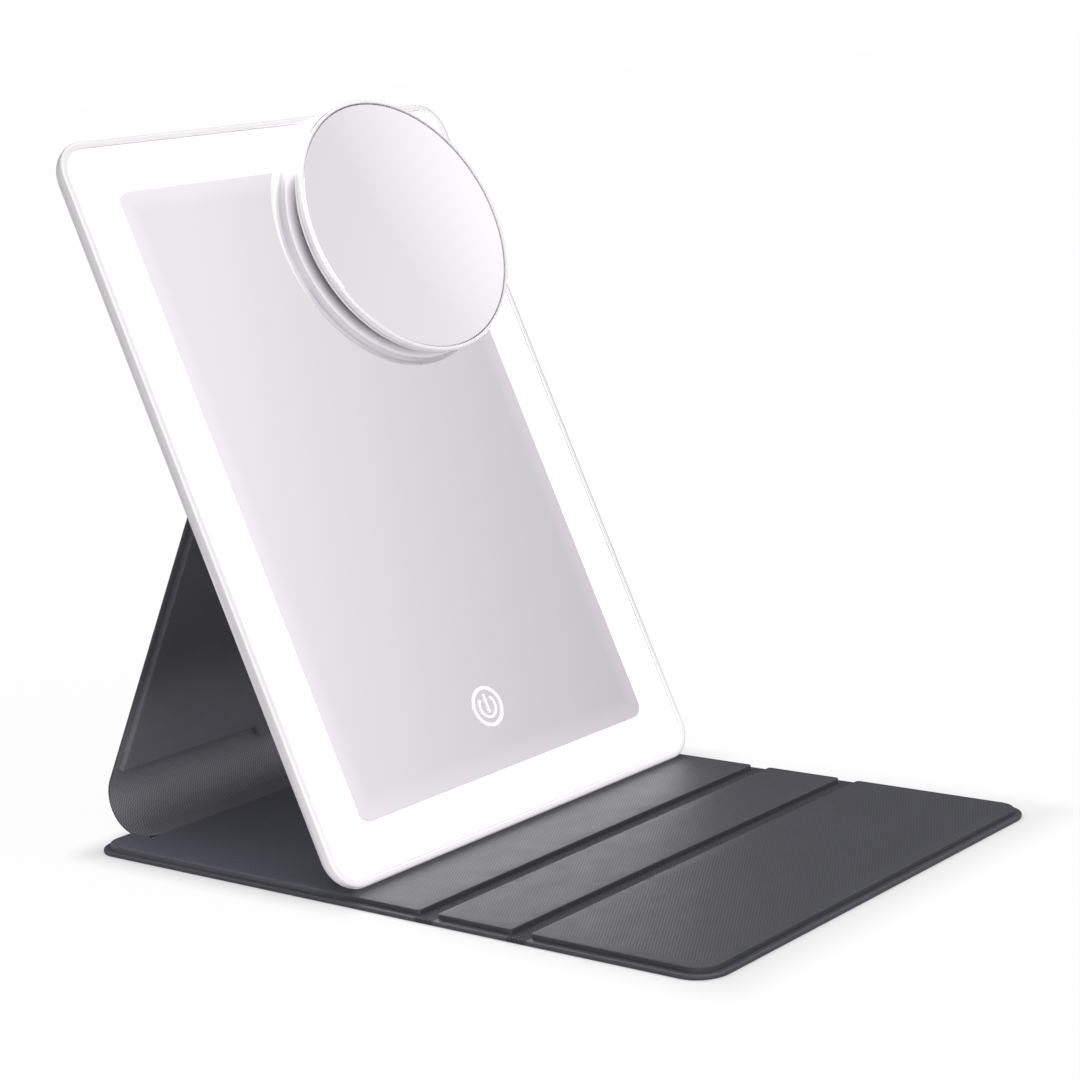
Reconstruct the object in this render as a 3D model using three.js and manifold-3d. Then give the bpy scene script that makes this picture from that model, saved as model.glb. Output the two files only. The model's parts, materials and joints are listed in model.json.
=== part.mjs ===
// Lighted makeup mirror in a folding cover, with a round magnifying mirror held on by magnets.
// Millimetres, +Z up, front towards -Y, origin on the table below the foot of the mirror.

import * as THREE from 'three';
import { mergeVertices } from 'three/addons/utils/BufferGeometryUtils.js';
import Module from 'manifold-3d';

const manifold = await Module();
manifold.setup();

// Clearances
const FIT = 0.3;
const LAYER_GAP = 0.1;
const CROSS_GAP = 0.2;

// Mirror panel, in its own frame: x across, y up the face, z out of the face
const PANEL_W = 180;
const PANEL_H = 250;
const PANEL_T = 10;
const PANEL_TILT = 23.4;
const PANEL_CORNER = 10.8;
const CORNER_SHRINK = 0.6;
const FOOT_Y = 0.1;
const FOOT_GAP = 0.12;
const EDGE_ROUND = 0.8;
const TAPER_START = 0.9;
const TAPER_IN = 11;
const SHELL_WALL = 1.2;
const LIP_W = 2.1;
const FRAME_DEPTH = 2.8;
const SKIRT_DEPTH = 4;
const SKIRT_W = 0.8;
const LEDGE_T = 0.3;

// Lit band and glass
const BAND_W = 18.2;
const WINDOW_CORNER = 4.75;
const GLASS_DROP = 0.4;
const GLASS_T = 2;
const DIFFUSER_T = 1.8;
const TAPE_T = 0.35;
const TAPE_W = 5;
const BACKING_T = 0.6;
const BACKING_LAP = 3;

// Touch control
const SYMBOL_Y = 39.3;
const RING_R = 6.95;
const RING_LINE = 1.2;
const ARC_R = 4.1;
const ARC_LINE = 0.9;
const ARC_OPENING = 42;
const STROKE_LOW = 2.2;
const STROKE_HIGH = 4.3;
const TOUCH_PAD_R = 7.5;
const TOUCH_HOLE_R = 9;
const SPRING_R = 3;
const SPRING_WIRE = 0.35;
const SPRING_TURNS = 3;

// Light tray and electronics
const TRAY_INSET = 5;
const TRAY_W = 17;
const TRAY_WALL = 1;
const TRAY_DEPTH = 6.4;
const TRAY_FLOOR = 0.6;
const STRIP_W = 8;
const STRIP_INSET = 8;
const STRIP_T = 0.4;
const LED_SIZE = 2.8;
const LED_T = 0.8;
const LED_PITCH = 16;
const STRIP_END = 30;
const BOARD_W = 68;
const BOARD_Y0 = 25;
const BOARD_H = 34;
const BOARD_T = 1;
const BATTERY_W = 72;
const BATTERY_H = 90;
const BATTERY_T = 4;
const BATTERY_Y = 140;
const SCREW_HEAD_R = 2.2;
const SCREW_SHANK_R = 0.85;
const BOSS_R = 2.6;
const MAGNET_BAR_END = 34;
const MAGNET_BAR_W = 5;
const MAGNET_BAR_T = 1.6;
const PORT_Y = 19;
const PORT_W = 9;
const PORT_T = 3.2;
const PORT_L = 7.4;

// Magnifying mirror
const MAGNIFIER_R = 46.66;
const MAGNIFIER_OVER_X = 0.36;
const MAGNIFIER_OVER_Y = 1.31;
const MAGNIFIER_TOP = 7;
const MAGNIFIER_BACK = 2.3;
const MAGNIFIER_RIM = 1.26;
const MAGNIFIER_SAG = 1.3;
const MAGNIFIER_GLASS_T = 1.4;
const MAGNIFIER_FOOT_R = 30;
const MAGNET_R = 4.8;
const MAGNET_T = 0.9;
const MAGNET_CIRCLE_R = 20;

// Cover: base with two folding flaps
const BASE_W = 177.2;
const BASE_FRONT = -136.3;
const BASE_REAR = 117.07;
const BASE_CORNER_FRONT = 10;
const BASE_CORNER_REAR = 9;
const SKIN_T = 0.8;
const RIM_T = 1.5;
const RIM_W = 2.4;
const BOARD_TOP = 2;
const LINING_TOP = 3.1;
const GROOVE_W = 7.2;
const GROOVE_REAR_Y = -31;
const GROOVE_FRONT_Y = -67.1;
const STEEL_L = 14;
const TONGUE_LOW_W = 8.6;
const TONGUE_TOP_W = 15.6;
const TONGUE_L = 5.1;

// Cover: spine, leg and back panel
const LEG_W = 146.4;
const LEG_TILT = 28.46;
const SPINE_R = 12.4;
const SPINE_LIFT = 2.3;
const SPINE_INSET = 4.87;
const SPINE_FLAP = 8.2;
const LEG_BOARD_T = 1;
const LEG_LINING_T = 0.7;
const LEG_MARGIN = 2.4;
const CREASE = 3.8;
const FOLD_R = 3;
const FOLD_RUN = 1;
const BACK_T = 2.8;
const BACK_TOP = 18;
const BACK_CORNER = 10;

const RAD = Math.PI / 180;
const tilt = PANEL_TILT * RAD;
const lean = LEG_TILT * RAD;
const taperDepth = PANEL_T - TAPER_START;

// Materials
const WHITE_PLASTIC = { name: 'white_plastic', color: 0xf0eeef, roughness: 0.28, metalness: 0 };
const SILVER = { name: 'mirror_silver', color: 0xdfe2e6, roughness: 0.03, metalness: 1 };
const OPAL = { name: 'opal_diffuser', color: 0xffffff, roughness: 0.45, metalness: 0 };
const SYMBOL = { name: 'symbol_print', color: 0xffffff, roughness: 0.4, metalness: 0 };
const SKIN = { name: 'cover_skin', color: 0x45464b, roughness: 0.5, metalness: 0 };
const LINING = { name: 'cover_lining', color: 0x4a4b50, roughness: 0.55, metalness: 0 };
const BOARD = { name: 'cover_board', color: 0x7a6a56, roughness: 0.9, metalness: 0 };
const STEEL = { name: 'steel', color: 0xb4b7ba, roughness: 0.35, metalness: 1 };
const MAGNET = { name: 'magnet_nickel', color: 0xa9abae, roughness: 0.25, metalness: 1 };
const FOAM = { name: 'foam_tape', color: 0x3a3a3c, roughness: 0.95, metalness: 0 };
const CIRCUIT = { name: 'circuit_board', color: 0xe9e9e4, roughness: 0.5, metalness: 0 };
const CHIP = { name: 'chip_black', color: 0x1c1c1e, roughness: 0.45, metalness: 0 };
const CELL = { name: 'cell_wrap', color: 0x9fa3a8, roughness: 0.4, metalness: 0 };

// Plain outlines, counter-clockwise
function outline(halfX, y0, y1, lowR, highR = lowR) {
  const corners = [
    [halfX, y0, lowR, -90, -1, 1],
    [halfX, y1, highR, 0, -1, -1],
    [-halfX, y1, highR, 90, 1, -1],
    [-halfX, y0, lowR, 180, 1, 1],
  ];
  const loop = [];
  for (const [x, y, r, start, sx, sy] of corners) {
    const steps = r > 0 ? 6 : 0;
    for (let i = 0; i <= steps; i += 1) {
      const angle = (start + (steps > 0 ? (90 * i) / steps : 0)) * RAD;
      const px = r > 0 ? x + sx * r + r * Math.cos(angle) : x;
      const py = r > 0 ? y + sy * r + r * Math.sin(angle) : y;
      loop.push(new THREE.Vector2(px, py));
    }
  }
  return loop;
}

function circle(radius, x = 0, y = 0, count = 32) {
  const loop = [];
  for (let i = 0; i < count; i += 1) {
    const angle = (i / count) * 2 * Math.PI;
    loop.push(new THREE.Vector2(x + radius * Math.cos(angle), y + radius * Math.sin(angle)));
  }
  return loop;
}

// Panel outline at a distance in from its edge
function panelLoop(inset, radius = PANEL_CORNER - CORNER_SHRINK * inset) {
  return outline(PANEL_W / 2 - inset, inset, PANEL_H - inset, radius);
}

// Solids
function plate(loop, z0, z1, holes = []) {
  const shape = new THREE.Shape(loop);
  for (const hole of holes) {
    shape.holes.push(new THREE.Path(hole));
  }
  const solid = new THREE.ExtrudeGeometry(shape, { depth: z1 - z0, bevelEnabled: false });
  return solid.translate(0, 0, z0);
}

function box(x0, x1, y0, y1, z0, z1) {
  const solid = new THREE.BoxGeometry(x1 - x0, y1 - y0, z1 - z0);
  return solid.translate((x0 + x1) / 2, (y0 + y1) / 2, (z0 + z1) / 2);
}

function disc(radius, x, y, z0, z1, count = 32) {
  return plate(circle(radius, x, y, count), z0, z1);
}

// Section drawn in the y-z plane, carried across x
function across(loop, width) {
  const turn = new THREE.Matrix4().makeBasis(
    new THREE.Vector3(0, 1, 0),
    new THREE.Vector3(0, 0, 1),
    new THREE.Vector3(1, 0, 0),
  );
  return plate(loop, -width / 2, width / 2).applyMatrix4(turn);
}

function lathe(profile, segments = 64) {
  const points = profile.map(([r, z]) => new THREE.Vector2(r, z));
  return facingOut(new THREE.LatheGeometry(points, segments).rotateX(Math.PI / 2));
}

// Solid through a list of rings with equal point counts
function loft(rings, joined = false) {
  const count = rings[0].loop.length;
  const positions = [];
  const faces = [];
  for (const { loop, z } of rings) {
    for (const point of loop) {
      positions.push(point.x, point.y, z);
    }
  }
  const spans = joined ? rings.length : rings.length - 1;
  for (let i = 0; i < spans; i += 1) {
    const a = i * count;
    const b = ((i + 1) % rings.length) * count;
    for (let j = 0; j < count; j += 1) {
      const k = (j + 1) % count;
      faces.push(a + j, a + k, b + k, a + j, b + k, b + j);
    }
  }
  if (!joined) {
    const low = positions.length / 3;
    const end = (rings.length - 1) * count;
    const middle = PANEL_H / 2;
    positions.push(0, middle, rings[0].z, 0, middle, rings[rings.length - 1].z);
    for (let j = 0; j < count; j += 1) {
      const k = (j + 1) % count;
      faces.push(low, k, j, low + 1, end + j, end + k);
    }
  }
  const solid = new THREE.BufferGeometry();
  solid.setAttribute('position', new THREE.Float32BufferAttribute(positions, 3));
  solid.setIndex(faces);
  return facingOut(solid);
}

// Turns the faces of a closed solid outwards
function facingOut(solid) {
  const place = solid.attributes.position;
  const index = solid.index.array;
  const a = new THREE.Vector3();
  const b = new THREE.Vector3();
  const c = new THREE.Vector3();
  let volume = 0;
  for (let i = 0; i < index.length; i += 3) {
    a.fromBufferAttribute(place, index[i]);
    b.fromBufferAttribute(place, index[i + 1]);
    c.fromBufferAttribute(place, index[i + 2]);
    volume += a.dot(b.cross(c));
  }
  if (volume < 0) {
    for (let i = 0; i < index.length; i += 3) {
      [index[i + 1], index[i + 2]] = [index[i + 2], index[i + 1]];
    }
  }
  return solid;
}

function toSolid(geometry) {
  const plain = geometry.clone();
  plain.deleteAttribute('normal');
  plain.deleteAttribute('uv');
  const merged = mergeVertices(plain, 1e-4);
  return new manifold.Manifold(new manifold.Mesh({
    numProp: 3,
    vertProperties: new Float32Array(merged.attributes.position.array),
    triVerts: new Uint32Array(merged.index.array),
  }));
}

function fromSolid(solid) {
  const mesh = solid.getMesh();
  const geometry = new THREE.BufferGeometry();
  geometry.setAttribute('position', new THREE.Float32BufferAttribute(mesh.vertProperties, 3));
  geometry.setIndex(new THREE.BufferAttribute(new Uint32Array(mesh.triVerts), 1));
  return geometry;
}

function combine(base, added, removed) {
  let solid = toSolid(base);
  for (const piece of added) {
    solid = solid.add(toSolid(piece));
  }
  for (const piece of removed) {
    solid = solid.subtract(toSolid(piece));
  }
  return fromSolid(solid);
}

// Bent strip: runs and turns along one side, thickness to the left
function ribbon(start, heading, moves, thickness) {
  const near = [];
  const far = [];
  const point = start.clone();
  let angle = heading;
  const mark = () => {
    near.push(point.clone());
    far.push(new THREE.Vector2(
      point.x - thickness * Math.sin(angle),
      point.y + thickness * Math.cos(angle),
    ));
  };
  mark();
  for (const [length, turn] of moves) {
    const steps = turn === 0 ? 1 : 14;
    const bend = turn / steps;
    const chord = turn === 0 ? length : (2 * length * Math.sin(Math.abs(bend) / 2)) / Math.abs(turn);
    for (let i = 0; i < steps; i += 1) {
      point.x += chord * Math.cos(angle + bend / 2);
      point.y += chord * Math.sin(angle + bend / 2);
      angle += bend;
      mark();
    }
  }
  return [...near, ...far.reverse()];
}

function part(parent, name, material, geometry) {
  const mesh = new THREE.Mesh(geometry, new THREE.MeshStandardMaterial(material));
  mesh.name = name;
  parent.add(mesh);
  return mesh;
}

// How far the side wall has moved in at a depth below the face
function sideInset(depth) {
  if (depth < EDGE_ROUND) {
    return EDGE_ROUND - Math.sqrt(EDGE_ROUND ** 2 - (EDGE_ROUND - depth) ** 2);
  }
  const part01 = Math.min(Math.max((depth - TAPER_START) / taperDepth, 0), 1);
  return TAPER_IN * (1 - Math.sqrt(1 - part01 ** 2));
}

function innerInset(depth) {
  const part01 = Math.min(Math.max((depth - TAPER_START) / (taperDepth - SHELL_WALL), 0), 1);
  return SHELL_WALL + TAPER_IN * (1 - Math.sqrt(1 - part01 ** 2));
}

// Where the tilted panel stands: its lowest point clears the lining
function footHeight() {
  let lowest = 0;
  for (let i = 0; i <= 200; i += 1) {
    const depth = (i / 200) * PANEL_T;
    lowest = Math.min(lowest, sideInset(depth) * Math.cos(tilt) - depth * Math.sin(tilt));
  }
  return LINING_TOP + FOOT_GAP - lowest;
}

const foot = new THREE.Vector2(FOOT_Y, footHeight());
const spineCentre = new THREE.Vector2(BASE_REAR - SPINE_INSET, SPINE_LIFT + SPINE_R);
const legStart = new THREE.Vector2(
  spineCentre.x + SPINE_R * Math.cos(lean),
  spineCentre.y + SPINE_R * Math.sin(lean),
);

// Where the outer faces of the leg and of the back panel meet
const backDepth = PANEL_T + BACK_T;
const gapY = legStart.x - foot.x - backDepth * Math.cos(tilt);
const gapZ = legStart.y - foot.y + backDepth * Math.sin(tilt);
const foldY = (gapY * Math.cos(lean) + gapZ * Math.sin(lean)) / Math.sin(tilt + lean);
const legLength = (gapY * Math.cos(tilt) - gapZ * Math.sin(tilt)) / Math.sin(tilt + lean);
const foldTangent = FOLD_R * Math.tan((tilt + lean) / 2) + FOLD_RUN;

// Mirror panel pieces
function frontFrame() {
  const profile = [];
  for (let i = 0; i <= 5; i += 1) {
    const depth = (EDGE_ROUND * i) / 5;
    profile.push([sideInset(depth), depth]);
  }
  for (let i = 1; i <= 3; i += 1) {
    const depth = TAPER_START + ((FRAME_DEPTH - TAPER_START) * i) / 3;
    profile.push([sideInset(depth), depth]);
  }
  const skirtIn = innerInset(SKIRT_DEPTH) + FIT;
  profile.push([skirtIn, FRAME_DEPTH]);
  profile.push([skirtIn, SKIRT_DEPTH]);
  profile.push([skirtIn + SKIRT_W, SKIRT_DEPTH]);
  profile.push([skirtIn + SKIRT_W, FRAME_DEPTH - LEDGE_T]);
  profile.push([LIP_W, FRAME_DEPTH - LEDGE_T]);
  profile.push([LIP_W, GLASS_DROP]);
  profile.push([LIP_W - 0.4, 0]);
  return loft(profile.map(([inset, depth]) => ({ loop: panelLoop(inset), z: -depth })), true);
}

function screwSpots() {
  const x = PANEL_W / 2 - TRAY_INSET - TRAY_W + TRAY_WALL + BOSS_R;
  const spots = [];
  for (const y of [0.22, 0.78]) {
    spots.push([-x, y * PANEL_H], [x, y * PANEL_H]);
  }
  return spots;
}

function rearShell() {
  const top = FRAME_DEPTH + CROSS_GAP;
  const floor = PANEL_T - SHELL_WALL;
  const rings = [];
  const steps = 9;
  for (let i = steps; i >= 0; i -= 1) {
    const depth = top + (floor - top) * Math.sin((i / steps) * (Math.PI / 2));
    rings.push({ loop: panelLoop(innerInset(depth)), z: -depth });
  }
  for (let i = 0; i <= steps; i += 1) {
    const depth = top + (PANEL_T - top) * Math.sin((i / steps) * (Math.PI / 2));
    rings.push({ loop: panelLoop(sideInset(depth)), z: -depth });
  }
  const bosses = screwSpots().map(([x, y]) => disc(BOSS_R, x, y, -floor - 0.5, -TRAY_DEPTH - CROSS_GAP, 20));
  const bores = screwSpots().map(([x, y]) => disc(
    SCREW_SHANK_R + LAYER_GAP, x, y, -floor - 0.4, -TRAY_DEPTH, 16,
  ));
  const middle = -portDepth();
  const slot = outline(PORT_W / 2 + FIT, middle - PORT_T / 2 - FIT, middle + PORT_T / 2 + FIT, 1.2);
  const cutter = across(slot, 16).translate(PANEL_W / 2 - 2, PORT_Y, 0);
  return combine(loft(rings), bosses, [...bores, cutter]);
}

function portDepth() {
  return TRAY_DEPTH - 0.5;
}

function lightTray() {
  const inner = TRAY_INSET + TRAY_W;
  const face = TRAY_DEPTH - TRAY_FLOOR;
  const backing = GLASS_DROP + GLASS_T + TAPE_T + BACKING_T + 3 * LAYER_GAP;
  const profile = [
    [TRAY_INSET, TRAY_DEPTH],
    [inner, TRAY_DEPTH],
    [inner, backing],
    [inner - TRAY_WALL, backing],
    [inner - TRAY_WALL, face],
    [TRAY_INSET + TRAY_WALL, face],
    [TRAY_INSET + TRAY_WALL, GLASS_DROP + DIFFUSER_T + CROSS_GAP],
    [TRAY_INSET, GLASS_DROP + DIFFUSER_T + CROSS_GAP],
  ];
  const ring = loft(profile.map(([inset, depth]) => (
    { loop: panelLoop(inset, Math.max(PANEL_CORNER - CORNER_SHRINK * inset, 1.5)), z: -depth }
  )), true);
  const holes = screwSpots().map(([x, y]) => disc(
    SCREW_SHANK_R + FIT, x, y, -TRAY_DEPTH - 1, -face + 1, 16,
  ));
  const edge = PANEL_W / 2;
  const notch = box(
    edge - PORT_L - 7, edge, PORT_Y - PORT_W / 2 - 2, PORT_Y + PORT_W / 2 + 2, -TRAY_DEPTH - 1, 0,
  );
  return combine(ring, [], [...holes, notch]);
}

function trayScrew(x, y) {
  const face = -TRAY_DEPTH + TRAY_FLOOR;
  const head = disc(SCREW_HEAD_R, x, y, face + LAYER_GAP, face + 0.9, 16);
  const shank = disc(SCREW_SHANK_R, x, y, -PANEL_T + SHELL_WALL, face + 0.5, 12);
  return combine(head, [shank], []);
}

function windowLoop(gap) {
  return panelLoop(BAND_W + gap, WINDOW_CORNER);
}

function diffuser() {
  const top = -GLASS_DROP;
  const outer = panelLoop(LIP_W + CROSS_GAP, PANEL_CORNER - CORNER_SHRINK * LIP_W);
  return plate(outer, top - DIFFUSER_T, top, [windowLoop(0)]);
}

function mirrorGlass() {
  return plate(windowLoop(CROSS_GAP), -GLASS_DROP - GLASS_T, -GLASS_DROP);
}

function mirrorTape() {
  const top = -GLASS_DROP - GLASS_T - LAYER_GAP;
  return plate(windowLoop(1), top - TAPE_T, top, [windowLoop(1 + TAPE_W)]);
}

function mirrorBacking() {
  const top = -GLASS_DROP - GLASS_T - TAPE_T - 2 * LAYER_GAP;
  const hole = circle(TOUCH_HOLE_R, 0, SYMBOL_Y);
  return plate(windowLoop(-BACKING_LAP), top - BACKING_T, top, [hole]);
}

const symbolBack = -GLASS_DROP + CROSS_GAP;

function touchRing() {
  const hole = circle(RING_R - RING_LINE, 0, SYMBOL_Y, 48);
  return plate(circle(RING_R, 0, SYMBOL_Y, 48), symbolBack, symbolBack + LAYER_GAP, [hole]);
}

function touchArc() {
  const outer = [];
  const inner = [];
  for (let i = 0; i <= 24; i += 1) {
    const angle = (90 + ARC_OPENING + ((360 - 2 * ARC_OPENING) * i) / 24) * RAD;
    const r = ARC_R - ARC_LINE;
    outer.push(new THREE.Vector2(ARC_R * Math.cos(angle), SYMBOL_Y + ARC_R * Math.sin(angle)));
    inner.push(new THREE.Vector2(r * Math.cos(angle), SYMBOL_Y + r * Math.sin(angle)));
  }
  return plate([...outer, ...inner.reverse()], symbolBack, symbolBack + LAYER_GAP);
}

function touchStroke() {
  const half = ARC_LINE / 2;
  return box(
    -half, half, SYMBOL_Y - STROKE_LOW, SYMBOL_Y + STROKE_HIGH, symbolBack, symbolBack + LAYER_GAP,
  );
}

function touchPad() {
  const top = -GLASS_DROP - GLASS_T - LAYER_GAP;
  return disc(TOUCH_PAD_R, 0, SYMBOL_Y, top - TAPE_T, top, 28);
}

function boardTop() {
  return -PANEL_T + SHELL_WALL + 0.6 + BOARD_T;
}

class Coil extends THREE.Curve {
  constructor(radius, turns, z0, z1) {
    super();
    this.radius = radius;
    this.turns = turns;
    this.z0 = z0;
    this.z1 = z1;
  }

  getPoint(t, target = new THREE.Vector3()) {
    const angle = t * this.turns * 2 * Math.PI;
    return target.set(
      this.radius * Math.cos(angle),
      SYMBOL_Y + this.radius * Math.sin(angle),
      this.z0 + (this.z1 - this.z0) * t,
    );
  }
}

function touchSpring() {
  const z1 = -GLASS_DROP - GLASS_T - TAPE_T - 2 * LAYER_GAP - SPRING_WIRE - CROSS_GAP;
  const z0 = boardTop() + SPRING_WIRE + CROSS_GAP;
  const path = new Coil(SPRING_R, SPRING_TURNS, z0, z1);
  const section = new THREE.Shape(circle(SPRING_WIRE, 0, 0, 6));
  return new THREE.ExtrudeGeometry(section, { steps: 60, bevelEnabled: false, extrudePath: path });
}

// Board with its soldered parts
function controlBoard() {
  const top = boardTop();
  const z = top - LAYER_GAP;
  const y = BOARD_Y0;
  const body = plate(outline(BOARD_W / 2, y, y + BOARD_H, 1), top - BOARD_T, top);
  return combine(body, [
    box(-26, -19, y + 8, y + 15, z, top + 1),
    box(-14, -9.5, y + 5, y + 8.5, z, top + 1.1),
    box(17, 23, y + 18, y + 24, z, top + 1.2),
    box(14, 17, y + 6, y + 9, z, top + 0.9),
    box(26, 30, y + 5, y + 8, z, top + 1.3),
    box(-26, -22, y + 22, y + 25, z, top + 0.8),
    box(-31, -29, y + 12, y + 16, z, top + 0.8),
  ], []);
}

function batteryPack() {
  const z0 = -PANEL_T + SHELL_WALL + 0.4;
  const y0 = BATTERY_Y - BATTERY_H / 2;
  const body = outline(BATTERY_W / 2, y0, y0 + BATTERY_H, 2);
  return plate(body, z0, z0 + BATTERY_T);
}

function batteryLead() {
  const top = boardTop();
  const y0 = BATTERY_Y - BATTERY_H / 2 - CROSS_GAP;
  const path = new THREE.CatmullRomCurve3([
    new THREE.Vector3(20, y0, top + 1.4),
    new THREE.Vector3(21, y0 - 8, top + 1.2),
    new THREE.Vector3(14, y0 - 20, top + 1),
    new THREE.Vector3(9, y0 - 30, top + 1),
    new THREE.Vector3(9, BOARD_Y0 + BOARD_H - 6, top + 1),
  ]);
  const section = new THREE.Shape(circle(0.8, 0, 0, 8));
  return new THREE.ExtrudeGeometry(section, { steps: 24, bevelEnabled: false, extrudePath: path });
}

function stripFace() {
  return -TRAY_DEPTH + TRAY_FLOOR + LAYER_GAP;
}

// Strip with its soldered lamps
function ledStrip(side) {
  const z = stripFace();
  const h = LED_SIZE / 2;
  const upright = side === 'left' || side === 'right';
  const half = (upright ? PANEL_H : PANEL_W) / 2 - STRIP_END;
  const middle = STRIP_INSET + STRIP_W / 2;
  const centre = {
    left: [middle - PANEL_W / 2, PANEL_H / 2],
    right: [PANEL_W / 2 - middle, PANEL_H / 2],
    bottom: [0, middle],
    top: [0, PANEL_H - middle],
  }[side];
  const wide = STRIP_W / 2;
  const [dx, dy] = upright ? [wide, half] : [half, wide];
  const [cx, cy] = centre;
  const body = box(cx - dx, cx + dx, cy - dy, cy + dy, z, z + STRIP_T);
  const lamps = [];
  const count = Math.floor((half - LED_SIZE) / LED_PITCH);
  for (let i = -count; i <= count; i += 1) {
    const x = upright ? cx : cx + i * LED_PITCH;
    const y = upright ? cy + i * LED_PITCH : cy;
    lamps.push(box(x - h, x + h, y - h, y + h, z + STRIP_T / 2, z + STRIP_T + LED_T));
  }
  return combine(body, lamps, []);
}

function chargePort() {
  const z = -portDepth();
  const outer = outline(PORT_W / 2, z - PORT_T / 2, z + PORT_T / 2, 1.2);
  const inner = outline(PORT_W / 2 - 0.35, z - PORT_T / 2 + 0.35, z + PORT_T / 2 - 0.35, 0.95);
  const tongue = outline(PORT_W / 2 - 1.4, z - 0.35, z + 0.35, 0.2);
  const mouth = PANEL_W / 2 - sideInset(portDepth() + PORT_T / 2) - CROSS_GAP;
  const tube = across(outer, PORT_L).translate(mouth - PORT_L / 2, PORT_Y, 0);
  const hollow = across(inner, PORT_L).translate(mouth - PORT_L / 2 + 1.2, PORT_Y, 0);
  const blade = across(tongue, PORT_L - 2).translate(mouth - PORT_L / 2 - 0.5, PORT_Y, 0);
  return fromSolid(toSolid(tube).subtract(toSolid(hollow)).add(toSolid(blade)));
}

function portBoard() {
  const top = -portDepth() - PORT_T / 2 - LAYER_GAP;
  const right = PANEL_W / 2 - innerInset(-top + 0.8) - FIT;
  return plate(
    outline(6, PORT_Y - 6, PORT_Y + 6, 0.8), top - 0.8, top,
  ).translate(right - 6, 0, 0);
}

const barHalf = PANEL_W / 2 - MAGNET_BAR_END;

function footMagnet() {
  const low = PANEL_T - SHELL_WALL - 0.5;
  const y = innerInset(low) + FIT;
  return box(-barHalf, barHalf, y, y + MAGNET_BAR_W, -low, -low + MAGNET_BAR_T);
}

// Magnifying mirror pieces, about their own centre
function magnifierHousing() {
  const r = MAGNIFIER_R;
  const wall = r - MAGNIFIER_RIM;
  const top = MAGNIFIER_TOP;
  const back = MAGNIFIER_BACK;
  const seat = top - 0.4 - MAGNIFIER_GLASS_T - CROSS_GAP;
  return lathe([
    [0, back],
    [r - 1.2, back],
    [r - 0.6, back + 0.2],
    [r - 0.3, back + 0.7],
    [r, top - 0.5],
    [r - 0.12, top - 0.18],
    [r - 0.4, top],
    [wall + 0.5, top],
    [wall + 0.15, top - 0.15],
    [wall, top - 0.5],
    [wall, seat],
    [wall - 1.2, seat],
    [wall - 1.2, back + 1],
    [0, back + 1],
  ]);
}

function magnifierGlass() {
  const r = MAGNIFIER_R - MAGNIFIER_RIM - CROSS_GAP;
  const edge = MAGNIFIER_TOP - 0.4;
  const low = edge - MAGNIFIER_SAG;
  const profile = [];
  for (let i = 0; i <= 6; i += 1) {
    const t = i / 6;
    profile.push([r * t, low - MAGNIFIER_GLASS_T + MAGNIFIER_SAG * t * t]);
  }
  for (let i = 6; i >= 0; i -= 1) {
    const t = i / 6;
    profile.push([r * t, low + MAGNIFIER_SAG * t * t]);
  }
  return lathe(profile);
}

function magnetSpots() {
  return [90, 210, 330].map((angle) => [
    MAGNET_CIRCLE_R * Math.cos(angle * RAD),
    MAGNET_CIRCLE_R * Math.sin(angle * RAD),
  ]);
}

function magnifierFoot() {
  const z0 = MAGNIFIER_BACK - 1.8;
  const z1 = MAGNIFIER_BACK - CROSS_GAP;
  const holes = magnetSpots().map(([x, y]) => disc(MAGNET_R + CROSS_GAP, x, y, z0 - 1, z0 + MAGNET_T + CROSS_GAP, 24));
  return combine(disc(MAGNIFIER_FOOT_R, 0, 0, z0, z1, 48), [], holes);
}

function magnifierMagnet(spot) {
  const z0 = MAGNIFIER_BACK - 1.8 + LAYER_GAP;
  const [x, y] = magnetSpots()[spot];
  return disc(MAGNET_R, x, y, z0, z0 + MAGNET_T, 24);
}

function magnifierPad() {
  const z1 = MAGNIFIER_BACK - 2;
  return disc(MAGNIFIER_FOOT_R - 0.6, 0, 0, z1 - 0.4, z1, 48);
}

// Cover pieces, flat on the table
function coverSkin(y0, y1, lowR, highR) {
  const half = BASE_W / 2;
  const openLow = lowR === 0 ? -1 : RIM_W;
  const openHigh = highR === 0 ? -1 : RIM_W;
  const pocket = outline(
    half - RIM_W, y0 + openLow, y1 - openHigh, Math.max(lowR - RIM_W, 0), Math.max(highR - RIM_W, 0),
  );
  const body = plate(outline(half, y0, y1, lowR, highR), 0, RIM_T);
  return combine(body, [], [plate(pocket, SKIN_T, RIM_T + 1)]);
}

function layerLoop(y0, y1, lowR, highR) {
  const low = lowR === 0 ? 0 : RIM_W + CROSS_GAP;
  const high = highR === 0 ? 0 : RIM_W + CROSS_GAP;
  return outline(
    BASE_W / 2 - RIM_W - CROSS_GAP, y0 + low, y1 - high,
    Math.max(lowR - RIM_W, 0), Math.max(highR - RIM_W, 0),
  );
}

function coverBoard(y0, y1, lowR, highR, holes) {
  return plate(layerLoop(y0, y1, lowR, highR), SKIN_T + LAYER_GAP, BOARD_TOP, holes);
}

function coverLining(y0, y1, lowR, highR) {
  return plate(layerLoop(y0, y1, lowR, highR), BOARD_TOP + LAYER_GAP, LINING_TOP);
}

function grooveStrip(y) {
  const half = GROOVE_W / 2 - FIT;
  return plate(outline(BASE_W / 2, y - half, y + half, 0), CROSS_GAP, RIM_T);
}

const baseY0 = GROOVE_REAR_Y + GROOVE_W / 2;
const flapRearY0 = GROOVE_FRONT_Y + GROOVE_W / 2;
const flapRearY1 = GROOVE_REAR_Y - GROOVE_W / 2;
const flapFrontY1 = GROOVE_FRONT_Y - GROOVE_W / 2;
const steelY = FOOT_Y + 1;

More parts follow.
